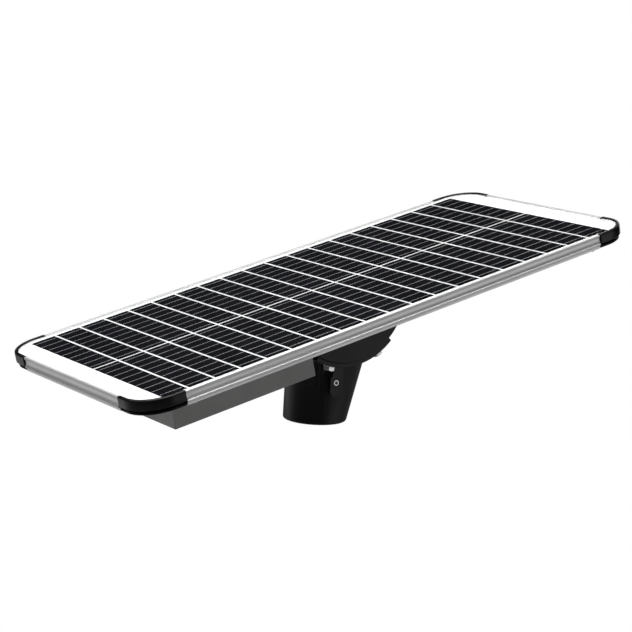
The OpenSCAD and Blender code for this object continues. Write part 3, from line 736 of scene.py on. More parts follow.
@dataclass(frozen=True)
class SiliconCell:
    """Dark silicon with fine printed fingers across it and a small change from cell to cell."""

    name: str
    colour: Colour
    finger: Colour
    turn: tuple[float, float, float]
    pitch: float = 1.5
    specular: float = 0.04
    lightest: float = 1.8

    def build(self, effects: Effects) -> bpy.types.Material:
        """Builds the material."""
        graph, shader, material = started(self.name)
        place = graph.turned_place(self.turn, (self.pitch * MM,) * 3)
        along = graph.add("ShaderNodeSeparateXYZ", {0: place}).outputs["X"]
        phase = graph.math("ABSOLUTE", graph.math("SUBTRACT", graph.math("FRACT", along), 0.5))
        line = graph.remap(phase, 0.035, 0.02, 0.0, 0.5)
        each = graph.add("ShaderNodeAttribute", attribute_name="cell_tone").outputs["Fac"]
        tone = graph.mix(each, self.colour, shade(self.colour, self.lightest))
        marks = graph.group(effects.smudges, size=0.03)
        graph.feed(shader, {
            "Base Color": graph.mix(line, tone, self.finger),
            "Roughness": graph.remap(marks.outputs["Mask"], 0, 1, 0.42, 0.50),
            "Specular IOR Level": self.specular,
        })
        bumped(graph, shader, line, 0.2, 0.01)
        return material


@dataclass(frozen=True)
class PhosphorChip:
    """Yellow phosphor with a soft skin."""

    name: str
    colour: Colour
    roughness: float = 0.25
    pebble: float = 0.2

    def build(self, effects: Effects) -> bpy.types.Material:
        """Builds the material."""
        graph, shader, material = started(self.name)
        skin = graph.group(effects.peel, size=self.pebble * MM)
        tone = graph.mix(skin.outputs["Tone"], shade(self.colour, 0.8), self.colour)
        graph.feed(shader, {"Base Color": tone, "Roughness": self.roughness})
        bumped(graph, shader, skin.outputs["Height"], 0.3, 0.01)
        return material


class Finishes:
    """Every finish of the lamp, by its plain name."""

    def __init__(self, tilt: float) -> None:
        """Builds the materials.

        Args:
            tilt: the panel's tilt at rest, in radians.
        """
        effects = Effects()
        turn = (0.0, -tilt, 0.0)
        flat = (0.0, 0.0, 0.0)
        along_x, along_y = (0.25, 0.0016, 0.0016), (0.0016, 0.25, 0.0016)
        silver = grey(0.70, -0.004)
        recipes = [
            DrawnMetal("anodised_long_rails", silver, 0.48, along_x, turn),
            DrawnMetal("anodised_end_rails", silver, 0.48, along_y, turn),
            DrawnMetal("rolled_aluminium", grey(0.62), 0.45, (0.2, 0.004, 0.004), turn, 0.07),
            DrawnMetal("zinc_steel", grey(0.60, 0.01), 0.30, (0.0015, 0.0015, 0.0015), flat, 0.12),
            DrawnMetal("tinned_ribbon", grey(0.42), 0.42, (0.03, 0.0005, 0.0005), turn, 0.12),
            CoatedMetal("grey_powder_coat", grey(0.34, 0.012), 0.52),
            CoatedMetal("black_powder_coat", grey(0.0035, -0.02), 0.38, 1.1, 0.04, 0.05, 0.25),
            MouldedPlastic("black_plastic", grey(0.003, -0.02), 0.30, specular=0.22),
            MouldedPlastic("black_rubber", grey(0.012), 0.62, 0.5, 0.02),
            MouldedPlastic("white_backsheet", grey(0.84, -0.004), 0.55, 0.8, 0.01),
            MouldedPlastic("white_board", grey(0.80), 0.35, 0.3, 0.006),
            MouldedPlastic("green_board", (0.012, 0.11, 0.045, 1.0), 0.33, 0.3, 0.006),
            MouldedPlastic("milky_dome", grey(0.80, 0.02), 0.30, 0.3, 0.004),
            MouldedPlastic("red_button", (0.42, 0.012, 0.010, 1.0), 0.35),
            MouldedPlastic("battery_wrap", (0.014, 0.075, 0.23, 1.0), 0.30, 1.2, 0.02),
            MouldedPlastic("red_insulation", (0.30, 0.010, 0.010, 1.0), 0.45),
            ClearSheet("panel_glass", (0.985, 0.992, 0.99, 1.0), 0.015, 1.45),
            ClearSheet("lens_plastic", (0.97, 0.98, 0.98, 1.0), 0.05, 1.42),
            SiliconCell("silicon", (0.0012, 0.0013, 0.0024, 1.0), grey(0.02), turn),
            PhosphorChip("phosphor", (0.80, 0.60, 0.14, 1.0)),
        ]
        self._made = {recipe.name: recipe.build(effects) for recipe in recipes}

    def __getitem__(self, name: str) -> bpy.types.Material:
        """The material of that name."""
        return self._made[name]


# ---- frames of reference ----


@dataclass(frozen=True)
class Head:
    """The tilted frame of the panel: X up the panel, Y across it, Z out of the glass."""

    axis: tuple[float, float, float]
    tilt: float

    def matrix(self) -> np.ndarray:
        """The 4 by 4 matrix from the head's frame to the row's frame, in metres."""
        frame = np.eye(4)
        c, s = math.cos(self.tilt), math.sin(self.tilt)
        frame[:3, :3] = [[c, 0, -s], [0, 1, 0], [s, 0, c]]
        frame[:3, 3] = self.axis
        return frame

    def inverse(self) -> np.ndarray:
        """The matrix from the row's frame to the head's frame."""
        return np.linalg.inv(self.matrix())

    def boxes(self, node: str) -> tuple[np.ndarray, np.ndarray]:
        """Corners of each solid of a CAD node, in millimetres of the head's frame."""
        low, high = solid_boxes(node, self.inverse())
        return low / MM, high / MM

    def shape(self, shape: Shape) -> Shape:
        """Moves a shape in millimetres of the head's frame to metres of the row's frame."""
        frame = self.matrix()
        points = shape.points * MM @ frame[:3, :3].T + frame[:3, 3]
        return Shape(points, shape.quads, shape.ends)


# ---- fasteners ----


@dataclass(frozen=True)
class PanScrew:
    """A pan-head screw with a cross recess, its head's outer face towards +Z."""

    head_radius: float
    head: float
    radius: float
    length: float

    def shape(self) -> Shape:
        """A turned surface whose top is pressed in by a cross.

        The top is a shallow dome, level = head (1 - 0.35 (r / R)^2). A point is pressed in
        where it lies within a slot's half width of either axis and inside the recess.
        """
        big, shank = self.head_radius, self.radius
        rings = np.array([0.08, 0.16, 0.24, 0.34, 0.46, 0.58, 0.64, 0.80, 0.92, 1.0]) * big
        dome = self.head * (1 - 0.35 * (rings / big) ** 2)
        radii = np.concatenate([rings, [big, big * 0.97, shank, shank, shank, shank * 0.6]])
        low = np.array([0.18 * self.head, 0.0, 0.0, -0.5, -self.length + 0.5, -self.length])
        body = turned(radii, np.concatenate([dome, low]), 32)
        points = body.points.copy()
        span = np.hypot(points[:, 0], points[:, 1])
        near = np.minimum(np.abs(points[:, 0]), np.abs(points[:, 1]))
        slot = 0.15 * big
        pressed = (near < slot) & (span < 0.6 * big) & (points[:, 2] > 0.3 * self.head)
        points[pressed, 2] -= 0.55 * self.head
        return Shape(points, body.quads, body.ends)


@dataclass(frozen=True)
class HexBolt:
    """A bolt with a chamfered hexagon head, its head's outer face towards +Z."""

    across: float
    head: float
    radius: float
    length: float

    def shape(self) -> Shape:
        """Stations over the head, down its side and along the shank.

        The head's top falls by tan 30 beyond 0.94 of half the width across flats.
        """
        edge = hexagon(self.across)
        every = np.ones(len(edge))
        rim = 0.94 * self.across / 2
        inner = np.array([0.3, 0.6, 0.62, 0.9])[:, None] * rim * every
        dish = np.array([0.12, 0.12, 0.0, 0.0])[:, None] * every
        outer = rim + (edge - rim) * np.array([0.0, 0.35, 0.7, 1.0])[:, None]
        fall = (outer - rim) * math.tan(math.radians(30))
        side = np.stack([edge, edge, edge * 0.98])
        side_level = np.array([0.5 * self.head, 0.35, 0.0])[:, None] * every
        shank = np.array([self.radius, self.radius, self.radius, self.radius * 0.8])
        shank_level = np.array([0.0, -0.4, 0.8 - self.length, -self.length])
        radii = np.concatenate([inner, outer, side, shank[:, None] * every])
        levels = np.concatenate([
            self.head - dish, self.head - fall, side_level, shank_level[:, None] * every
        ])
        return polar(radii, levels)


@dataclass(frozen=True)
class Washer:
    """A flat washer with rounded edges, from Z 0 up."""

    outer: float
    inner: float
    thickness: float

    def shape(self) -> Shape:
        """A rounded rectangle turned about the axis; the grid closes on itself."""
        corners = np.array([
            [self.inner, 0.0], [self.outer, 0.0],
            [self.outer, self.thickness], [self.inner, self.thickness],
        ])
        section = rounded_loop(corners, np.full(4, 0.22 * self.thickness), 4)
        sides = 48
        angle = np.append(even_angles(sides), 2 * math.pi)
        grid = np.stack([
            section[:, 0] * np.cos(angle)[:, None],
            section[:, 0] * np.sin(angle)[:, None],
            np.broadcast_to(section[:, 1], (sides + 1, len(section))),
        ], -1)
        quads = grid_quads(sides + 1, len(section)) % (sides * len(section))
        return Shape(grid[:-1].reshape(-1, 3), quads)


@dataclass(frozen=True)
class SetScrew:
    """A headless screw with a hexagon socket, its socket's face towards +Z."""

    radius: float
    length: float
    across: float
    depth: float

    def shape(self) -> Shape:
        """Stations over the socket's floor and walls, the chamfered face and the point."""
        socket = hexagon(self.across)
        r = self.radius * np.ones(len(socket))
        radii = np.stack([0.4 * socket, socket, socket, 1.12 * socket, 0.86 * r, r, r,
                          0.7 * r, 0.5 * r])
        top = self.length
        levels = np.array([top - self.depth, top - self.depth, top - 0.25, top, top,
                           top - 0.5, 0.9, 0.0, 0.25])
        return polar(radii, levels[:, None])


def frame_at(origin: np.ndarray, outward: np.ndarray, aside: np.ndarray) -> np.ndarray:
    """A 4 by 4 frame at a point, with +Z outward and +X near the given side direction."""
    z = outward / np.linalg.norm(outward)
    y = np.cross(z, aside)
    y /= np.linalg.norm(y)
    frame = np.eye(4)
    frame[:3, 0], frame[:3, 1], frame[:3, 2], frame[:3, 3] = np.cross(y, z), y, z, origin
    return frame


def scaled(shape: Shape, factor: float) -> Shape:
    """A shape with every point multiplied by a factor."""
    return Shape(shape.points * factor, shape.quads, shape.ends)


def seats(low: np.ndarray, high: np.ndarray, rise: float, outward: tuple[float, float, float],
          asides: np.ndarray) -> np.ndarray:
    """Frames on the middle of each box, at a rise above its lowest level.

    Args:
        low: the boxes' lowest corners.
        high: the boxes' highest corners.
        rise: the height of the frames' origins above the lowest corners.
        outward: the direction of the frames' +Z.
        asides: a side direction for each frame's +X.

    Returns:
        One 4 by 4 frame for each box.
    """
    middle = (low + high) / 2
    return np.array([
        frame_at(np.array([x, y, z + rise]), np.array(outward), aside)
        for (x, y), z, aside in zip(middle[:, :2], low[:, 2], asides)
    ])


def head_screws(node: str, head: Head, radius: float, material: bpy.types.Material,
                head_height: float) -> None:
    """Stands pan-head screws in for a node whose screws all point up into the head.

    Args:
        node: the CAD node.
        head: the head's frame.
        radius: the shank's radius.
        material: the screws' finish.
        head_height: the height of a screw's head.
    """
    low, high = head.boxes(node)
    head_radius = float((high - low)[:, 0].mean() / 2)
    length = float((high - low)[:, 2].mean()) - head_height
    screw = PanScrew(head_radius, head_height, radius, length).shape()
    spin = np.random.default_rng(len(low)).uniform(0, math.pi, len(low))
    asides = np.stack([np.cos(spin), np.sin(spin), np.zeros(len(low))], -1)
    places = seats(low, high, head_height, DOWN, asides)
    name = node.replace("_screws", "_pan_screws")
    piece = mesh_object(name, head.shape(screw.placed(places)), 40)
    stand_in(piece, Body.HEAD, material, "bright_steel", node)


@dataclass(frozen=True)
class BoltSize:
    """Sizes of the lamp's hexagon bolts and their washers."""

    across: float = 13.0
    head: float = 5.28
    radius: float = 4.0
    washer: float = 1.6
    washer_radius: float = 8.0
    washer_hole: float = 4.25


@dataclass(frozen=True)
class SoftenedNode:
    """A CAD node that shows as a copy of itself with softened edges."""

    node: str
    finish: str
    slot: str
    width: float
    sharp: float = 30.0
    body: Body = Body.HEAD

    def build(self, finishes: Finishes) -> None:
        """Makes the copy and puts it in its node's place."""
        piece = edged_copy(self.node, self.width, self.sharp)
        stand_in(piece, self.body, finishes[self.finish], self.slot, self.node)


def dress_all(finishes: Finishes, looks: dict[str, str]) -> None:
    """Gives CAD nodes, named in one line for each finish, their finishes."""
    for finish, nodes in looks.items():
        for node in nodes.split():
            dressed(node, finishes[finish])


# ---- sub-assemblies ----


class Side(Enum):
    """The four sides of the panel: which way is inward, in plan."""

    FRONT = (0, 1)
    REAR = (0, -1)
    LEFT = (1, 0)
    RIGHT = (-1, 0)


@dataclass
class PanelFrame:
    """Four drawn rails and four two-tier corner caps."""

    head: Head
    finishes: Finishes
    half_length: float = 357.23
    half_width: float = 171.0
    corner_radius: float = 42.0
    cap_reach: float = 56.0
    lip: float = 4.0
    seat: float = 10.0
    rail_wall: float = 2.8
    hollow: float = 1.2
    bead_radius: float = 1.15
    cap_proud: float = 0.8
    cap_step: float = 2.6
    tier: float = -9.5
    bottom: float = -15.4
    plate_top: float = -13.4
    flange: float = 14.0
    web: float = 9.3
    chamber_bottom: float = -12.1
    ledge_under: float = -4.4
    ledge_top: float = -3.1
    lip_under: float = 1.0
    end_rounding: float = 2.4
    window: tuple[float, float, float] = (16.0, 3.4, 0.8)
    window_turn: float = 249.0

    def rail_section(self) -> np.ndarray:
        """The outline of a rail as (inset, height) points.

        It runs over the lip, down a hollow that is part of a circle, round the bead, past
        the groove and the lower band, and back along the flange and the ledge.
        """
        top, low = 0.4, self.tier + 1.1
        chord = (top - low) / 2
        radius = (chord**2 + self.hollow**2) / (2 * self.hollow)
        swing = math.degrees(math.asin(chord / radius))
        hollow = arc_points((self.hollow - radius, (top + low) / 2), radius, swing, -swing, 18)
        bead = arc_points((0.4, self.tier - 0.7), self.bead_radius, 110, 250, 12)
        lip = arc_points((1.0, 1.0), 1.0, 90, 180, 8)
        wall, lip_in = self.rail_wall, self.lip
        inner = [
            [1.6, -11.5], [1.6, -12.4], [1.2, -12.7], [1.2, -15.1], [1.5, self.bottom],
            [wall, self.bottom], [wall, self.plate_top],
            [self.flange, self.plate_top], [self.flange, self.chamber_bottom],
            [self.web, self.chamber_bottom], [self.web, self.ledge_under],
            [self.seat, self.ledge_under], [self.seat, self.ledge_top],
            [wall, self.ledge_top], [wall, self.lip_under], [lip_in, self.lip_under],
            [lip_in, 1.75], [lip_in - 0.1, 1.93], [lip_in - 0.25, 2.0],
        ]
        return np.concatenate([lip, hollow, bead, np.array(inner)])

    def rail(self, side: Side) -> Shape:
        """The section carried straight along one side, between its caps."""
        inward = np.array(side.value, float)
        along = np.array([inward[1], -inward[0]])
        ends_on_y = side in (Side.LEFT, Side.RIGHT)
        half, offset = (
            (self.half_width, self.half_length) if ends_on_y else (self.half_length, self.half_width)
        )
        run = np.linspace(-1, 1, 9) * (half - self.cap_reach)
        base = run[:, None] * along - inward * offset
        return tube(border(base, np.repeat(inward[None], len(run), 0), self.rail_section()))

    def cap_section(self) -> np.ndarray:
        """The outline of a cap: a taller upper tier over a set-back lower tier."""
        out, step = -self.cap_proud, self.cap_step - self.cap_proud
        high, low = self.tier - 1.4, self.tier - 1.4 - self.window[1]
        corners = np.array([
            [self.lip, 1.0], [self.lip, 2.8], [out, 2.8], [out, self.tier],
            [step, self.tier], [step, high], [step, high - 0.02], [step, low + 0.02], [step, low],
            [step, self.bottom], [self.rail_wall, self.bottom], [self.rail_wall, -13.4],
            [8.0, -13.4], [8.0, -3.05], [self.rail_wall, -3.05], [self.rail_wall, 1.0],
        ])
        radii = np.array([0.2, 0.7, 1.9, 0.5, 0.3, 0.002, 0.002, 0.002, 0.002, 0.8] + [0.15] * 6)
        return rounded_loop(corners, radii, 5)

    def cap(self, sx: int, sy: int) -> Shape:
        """The section carried round a corner, smaller towards each end.

        Within the end rounding r, at a distance e from the end, every point moves
        r - sqrt(r^2 - (r - e)^2) towards the cap's core, so the ends are rounded over. The
        window is the part of the lower tier's face that is pushed in.
        """
        r, reach, rounding = self.corner_radius, self.cap_reach, self.end_rounding
        straight = reach - r
        ease = rounding * (1 - np.cos(np.linspace(0, math.pi / 2, 8)))
        start = np.concatenate([ease, np.linspace(rounding, straight, 4)[1:]])
        mid = straight + r * math.pi / 2
        total = mid + straight
        arc_run = np.linspace(straight, mid, 41)[1:-1]
        window_mid = straight + r * math.radians(270 - self.window_turn)
        half = self.window[0] / 2
        marks = window_mid + np.array([-half - 0.02, -half + 0.02, half - 0.02, half + 0.02])
        run = np.unique(np.concatenate([start, arc_run, marks, total - start]))
        angle = np.radians(270 - np.clip(run - straight, 0, r * math.pi / 2) / r * 180 / math.pi)
        before = np.clip(straight - run, 0, None)
        after = np.clip(run - mid, 0, None)
        outward = np.stack([np.cos(angle), np.sin(angle)], -1)
        base = r + r * outward + np.stack([before, after], -1)
        section = np.broadcast_to(self.cap_section(), (len(run),) + self.cap_section().shape).copy()
        end = np.clip(np.minimum(run, total - run), 0, rounding)
        shrink = rounding - np.sqrt(rounding**2 - (rounding - end) ** 2)
        face = np.clip((self.rail_wall - section[..., 0]) / 2.0, 0, 1)
        section[..., 0] += shrink[:, None] * face * 0.9
        rise = np.clip((section[..., 1] - 1.0) / 1.8, 0, 1)
        section[..., 1] -= shrink[:, None] * rise * 0.7
        lower = np.clip((self.tier - section[..., 1]) / 5.9, 0, 1)
        section[..., 1] += shrink[:, None] * lower * 0.8
        level = section[..., 1]
        high, low = self.tier - 1.41, self.tier - 1.39 - self.window[1]
        pushed = (np.abs(run - window_mid) < half)[:, None] & (level < high) & (level > low)
        pushed &= section[..., 0] < self.rail_wall - 0.5
        section[..., 0] += pushed * self.window[2]
        grid = border(base, -outward, section)
        grid[..., :2] -= [self.half_length, self.half_width]
        shape = tube(grid)
        return Shape(shape.points * [-sx, -sy, 1], shape.quads, shape.ends)

    def build(self) -> None:
        """Makes the rails, the caps and the screws that hold them."""
        for side in Side:
            name = "frame_rail_" + side.name.lower()
            long_side = side in (Side.FRONT, Side.REAR)
            finish = self.finishes["anodised_long_rails" if long_side else "anodised_end_rails"]
            piece = mesh_object("drawn_" + name, self.head.shape(self.rail(side)), 25)
            stand_in(piece, Body.HEAD, finish, "silver_aluminium", name)
        places = {"front_left": (-1, -1), "front_right": (1, -1),
                  "rear_left": (-1, 1), "rear_right": (1, 1)}
        for place, (sx, sy) in places.items():
            piece = mesh_object("moulded_cap_" + place, self.head.shape(self.cap(sx, sy)), 50)
            stand_in(piece, Body.HEAD, self.finishes["black_plastic"], "black_plastic",
                     "corner_cap_" + place)
        head_screws("corner_screws", self.head, 1.5, self.finishes["zinc_steel"], 1.8)


@dataclass
class SolarPanel:
    """Glass, cells, ribbons and backsheet."""

    head: Head
    finishes: Finishes
    frame: PanelFrame
    rows: int = 19
    pitch: float = 34.35
    cell_width: float = 31.75
    cell_length: float = 158.75
    column: float = 80.625
    ribbons: int = 9
    ribbon_width: float = 0.9
    inset: float = 3.5
    glass_top: float = 0.9
    bond: float = -2.75
    cell_top: float = -2.45

    def plan(self, inset: float) -> tuple[np.ndarray, np.ndarray]:
        """Stations round the panel with their inward directions."""
        r = self.frame.corner_radius
        cx, cy = self.frame.half_length - r, self.frame.half_width - r
        turn = np.radians(np.linspace(0, 90, 17)[None] + np.array([0, 90, 180, 270])[:, None])
        out = np.stack([np.cos(turn), np.sin(turn)], -1)
        centre = np.array([[cx, cy], [-cx, cy], [-cx, -cy], [cx, -cy]])[:, None]
        return (centre + (r - inset) * out).reshape(-1, 2), -out.reshape(-1, 2)

    def glass(self) -> Shape:
        """A sheet with a ground rim, bonded down to the backsheet by its clear layer.

        The rim's section is a rectangle with its corners cut by 0.4 mm.
        """
        base, inward = self.plan(self.inset)
        cut = 0.4
        section = np.array([
            [cut * 2, self.glass_top], [cut, self.glass_top], [0.0, self.glass_top - cut],
            [0.0, self.bond + cut], [cut, self.bond], [cut * 2, self.bond],
        ])
        grid = border(base, inward, section).transpose(1, 0, 2)
        return tube(grid)

    def cells(self) -> Shape:
        """Strips of silicon in two columns."""
        i = np.arange(self.rows) - (self.rows - 1) / 2
        x, y = np.meshgrid(i * self.pitch, [-self.column, self.column], indexing="ij")
        middle = np.stack([x.ravel(), y.ravel()], -1)
        half = np.array([self.cell_width / 2, self.cell_length / 2])
        level = np.full((len(middle), 1), self.cell_top)
        return blocks(np.hstack([middle - half, level - 0.2]), np.hstack([middle + half, level]))

    def strips(self) -> Shape:
        """Thin ribbons on each cell that stop short of its edges."""
        i = (np.arange(self.rows) - (self.rows - 1) / 2) * self.pitch
        spread = (np.arange(self.ribbons) - (self.ribbons - 1) / 2) * self.cell_length / self.ribbons
        y = (np.array([-self.column, self.column])[:, None] + spread).ravel()
        x, y = np.meshgrid(i, y, indexing="ij")
        middle = np.stack([x.ravel(), y.ravel()], -1)
        half = np.array([self.cell_width / 2 - 1.1, self.ribbon_width / 2])
        level = np.full((len(middle), 1), self.cell_top)
        return blocks(np.hstack([middle - half, level]), np.hstack([middle + half, level + 0.1]))

    def build(self) -> None:
        """Makes the layers of the panel."""
        glass = mesh_object("tempered_glass", self.head.shape(self.glass()), 20)
        stand_in(glass, Body.HEAD, self.finishes["panel_glass"], "panel_glass", "panel_glass")
        cells = mesh_object("silicon_cells", self.head.shape(self.cells()))
        tones = np.random.default_rng(7).uniform(0, 1, self.rows * 2)
        float_attribute(cells, "cell_tone", np.repeat(tones, 8))
        stand_in(cells, Body.HEAD, self.finishes["silicon"], "solar_cell", "solar_cells")
        ribbons = mesh_object("tinned_ribbons", self.head.shape(self.strips()))
        stand_in(ribbons, Body.HEAD, self.finishes["tinned_ribbon"], "ribbon", "cell_ribbons")
        dress_all(self.finishes, {
            "white_backsheet": "panel_backsheet",
            "black_plastic": "panel_junction_box junction_box_lid",
            "red_insulation": "panel_leads",
        })


@dataclass
class BackPlate:
    """The plate that closes the frame, and what is fixed to it."""

    head: Head
    finishes: Finishes

    def build(self) -> None:
        """Dresses the plate and makes its screws."""
        plate = SoftenedNode("back_plate", "rolled_aluminium", "silver_aluminium", 0.4)
        plate.build(self.finishes)
        dress_all(self.finishes, {
            "zinc_steel": "mounting_plate",
            "black_rubber": "cable_grommet",
        })
        head_screws("back_plate_screws", self.head, 1.5, self.finishes["zinc_steel"], 1.8)


@dataclass
class LightBox:
    """The housing under one half of the panel, with its light and its fittings."""

    head: Head
    finishes: Finishes
    shell: tuple[SoftenedNode, ...] = (
        SoftenedNode("housing_shell", "grey_powder_coat", "grey_aluminium", 0.5),
        SoftenedNode("light_plate", "rolled_aluminium", "silver_aluminium", 0.3),
        SoftenedNode("lens_frame", "grey_powder_coat", "grey_aluminium", 0.5),
        SoftenedNode("lens_plate", "lens_plastic", "clear_lens", 0.0, 40),
    )
    fittings: tuple[SoftenedNode, ...] = (
        SoftenedNode("switch_body", "black_plastic", "black_plastic", 0.3, 40),
        SoftenedNode("switch_button", "red_button", "red_button", 0.6, 40, Body.BUTTON),
        SoftenedNode("sensor_dome", "milky_dome", "white_dome", 0.3, 40),
        SoftenedNode("vent_plug", "black_plastic", "black_plastic", 0.4, 40),
    )

    def build_shell(self) -> None:
        """Makes the housing, its plates and the lens, and dresses the light."""
        for part in self.shell:
            part.build(self.finishes)
        dress_all(self.finishes, {
            "black_rubber": "housing_gasket lens_gasket",
            "white_board": "led_board",
            "phosphor": "led_chips",
        })

    def build_screws(self) -> None:
        """Makes the screws of the housing, the light plate and the lens frame."""
        steel = self.finishes["zinc_steel"]
        head_screws("housing_screws", self.head, 2.0, steel, 2.2)
        head_screws("light_plate_screws", self.head, 1.5, steel, 1.8)
        head_screws("lens_frame_screws", self.head, 1.5, steel, 1.5)

    def build_fittings(self) -> None:
        """Makes the switch, the motion sensor and the breather."""
        for part in self.fittings:
            part.build(self.finishes)
        dress_all(self.finishes, {
            "black_rubber": "switch_seal",
            "zinc_steel": "switch_nut",
            "green_board": "sensor_board",
        })

    def build_power(self) -> None:
        """Dresses the battery, the controller and the leads inside the box."""
        dress_all(self.finishes, {
            "battery_wrap": "battery_cells",
            "black_plastic": "battery_tray controller_case controller_lid",
            "green_board": "battery_board controller_board",
            "red_insulation": "battery_leads light_leads",
            "black_rubber": "signal_leads",
        })

    def build(self) -> None:
        """Makes the whole box."""
        self.build_shell()
        self.build_screws()
        self.build_fittings()
        self.build_power()


@dataclass
class TiltBase:
    """The half-moon under the panel's middle and the bolts through its lugs."""

    head: Head
    finishes: Finishes
    bolts: BoltSize = BoltSize()

    def build(self) -> None:
        """Makes the base, its bolts and its washers."""
        base = SoftenedNode("tilt_base", "black_powder_coat", "black_casting", 0.7)
        base.build(self.finishes)
        size, side = self.bolts, np.array([1.0, 0.3, 0.0])
        low, high = self.head.boxes("tilt_base_bolts")
        length = float((high - low)[0, 2]) - size.head
        bolt = HexBolt(size.across, size.head, size.radius, length).shape()
        places = seats(low, high, size.head, DOWN, np.tile(side, (len(low), 1)))
        self.fasten("tilt_base_hex_bolts", bolt.placed(places), 20, "tilt_base_bolts")
        low, high = self.head.boxes("tilt_base_washers")
        ring = Washer(float((high - low)[0, 0]) / 2, size.washer_hole, size.washer).shape()
        places = seats(low, high, 0.0, UP, np.tile(side, (len(low), 1)))
        self.fasten("tilt_base_flat_washers", ring.placed(places), 30, "tilt_base_washers")

    def fasten(self, name: str, shape: Shape, sharp: float, node: str) -> None:
        """Puts steel fasteners in the place of their node."""
        piece = mesh_object(name, self.head.shape(shape), sharp)
        stand_in(piece, Body.HEAD, self.finishes["zinc_steel"], "bright_steel", node)


@dataclass
class PoleSleeve:
    """The cast sleeve with its saddle, clamp bolts and set screws."""

    axis: tuple[float, float, float]
    finishes: Finishes
    bolts: BoltSize = BoltSize()
    clamp_length: float = 24.0
    seat_radius: float = 90.0
    mouth_round: float = 2.2
    outer_radius: float = 39.25
    screw_height: float = 53.5
    socket_radius: float = 35.0
    screw_radius: float = 4.0
    screw_length: float = 8.0
    key_across: float = 4.0
    key_depth: float = 3.5

    def is_mouth(self, middles: np.ndarray) -> np.ndarray:
        """Picks the edges round the sleeve's lower rim, outside."""
        span = np.hypot(middles[:, 0], middles[:, 1]) / MM
        return (np.abs(middles[:, 2]) < 0.2 * MM) & (span > self.outer_radius - 1.5)

    def radial_places(self, node: str, reach: float) -> np.ndarray:
        """Frames that point away from the tilt axis, one for each solid of a node.

        Args:
            node: the CAD node.
            reach: the distance of each frame's origin from the tilt axis.

        Returns:
            The frames, in millimetres of the row's frame.
        """
        low, high = solid_boxes(node, np.eye(4))
        middle = (low + high) / 2 / MM
        axis = np.array(self.axis) / MM
        out = middle - axis
        out[:, 1] = 0
        out /= np.linalg.norm(out, axis=1, keepdims=True)
        origin = axis + out * reach
        origin[:, 1] = middle[:, 1]
        across = np.array([0.0, 1.0, 0.0])
        return np.array([frame_at(o, z, across) for o, z in zip(origin, out)])

    def build(self) -> None:
        """Makes the casting and its fasteners."""
        steel = self.finishes["zinc_steel"]
        casting = edged_copy("pole_sleeve", 0.6, 30, self.is_mouth, self.mouth_round)
        stand_in(casting, Body.SLEEVE, self.finishes["black_powder_coat"], "black_casting",
                 "pole_sleeve")
        size = self.bolts
        bolt = HexBolt(size.across, size.head, size.radius, self.clamp_length).shape()
        places = self.radial_places("clamp_washers", self.seat_radius + size.washer)
        piece = mesh_object("clamp_hex_bolts", scaled(bolt.placed(places), MM), 20)
        stand_in(piece, Body.SLEEVE, steel, "bright_steel", "clamp_bolts")
        ring = Washer(size.washer_radius, size.washer_hole, size.washer).shape()
        places = self.radial_places("clamp_washers", self.seat_radius)
        piece = mesh_object("clamp_flat_washers", scaled(ring.placed(places), MM), 30)
        stand_in(piece, Body.SLEEVE, steel, "bright_steel", "clamp_washers")
        dressed("clamp_nut_bars", steel)
        for sign, node, body in ((-1, "set_screw_front", Body.FRONT_SCREW),
                                 (1, "set_screw_rear", Body.REAR_SCREW)):
            screw = SetScrew(self.screw_radius, self.screw_length, self.key_across,
                             self.key_depth).shape()
            origin = np.array([0.0, sign * (self.socket_radius + 0.1), self.screw_height])
            place = frame_at(origin, np.array([0.0, sign, 0.0]), np.array([1.0, 0.0, 0.0]))
            piece = mesh_object("hex_" + node, scaled(screw.placed(place[None]), MM), 25)
            stand_in(piece, body, steel, "bright_steel", node)


# ---- studio ----


@dataclass(frozen=True)
class Lamp:
    """A soft rectangular studio light."""

    name: str
    place: tuple[float, float, float]
    aim: tuple[float, float, float]
    size: tuple[float, float]
    power: float

    def build(self) -> None:
        """Adds the light."""
        light = bpy.data.lights.new(self.name, "AREA")
        light.shape = "RECTANGLE"
        light.size, light.size_y = self.size
        light.energy = self.power
        lamp = bpy.data.objects.new(self.name, light)
        lamp.location = self.place
        lamp.rotation_euler = (Vector(self.aim) - Vector(self.place)).to_track_quat("-Z", "Y").to_euler()
        lamp.visible_camera = False
        bpy.context.scene.collection.objects.link(lamp)


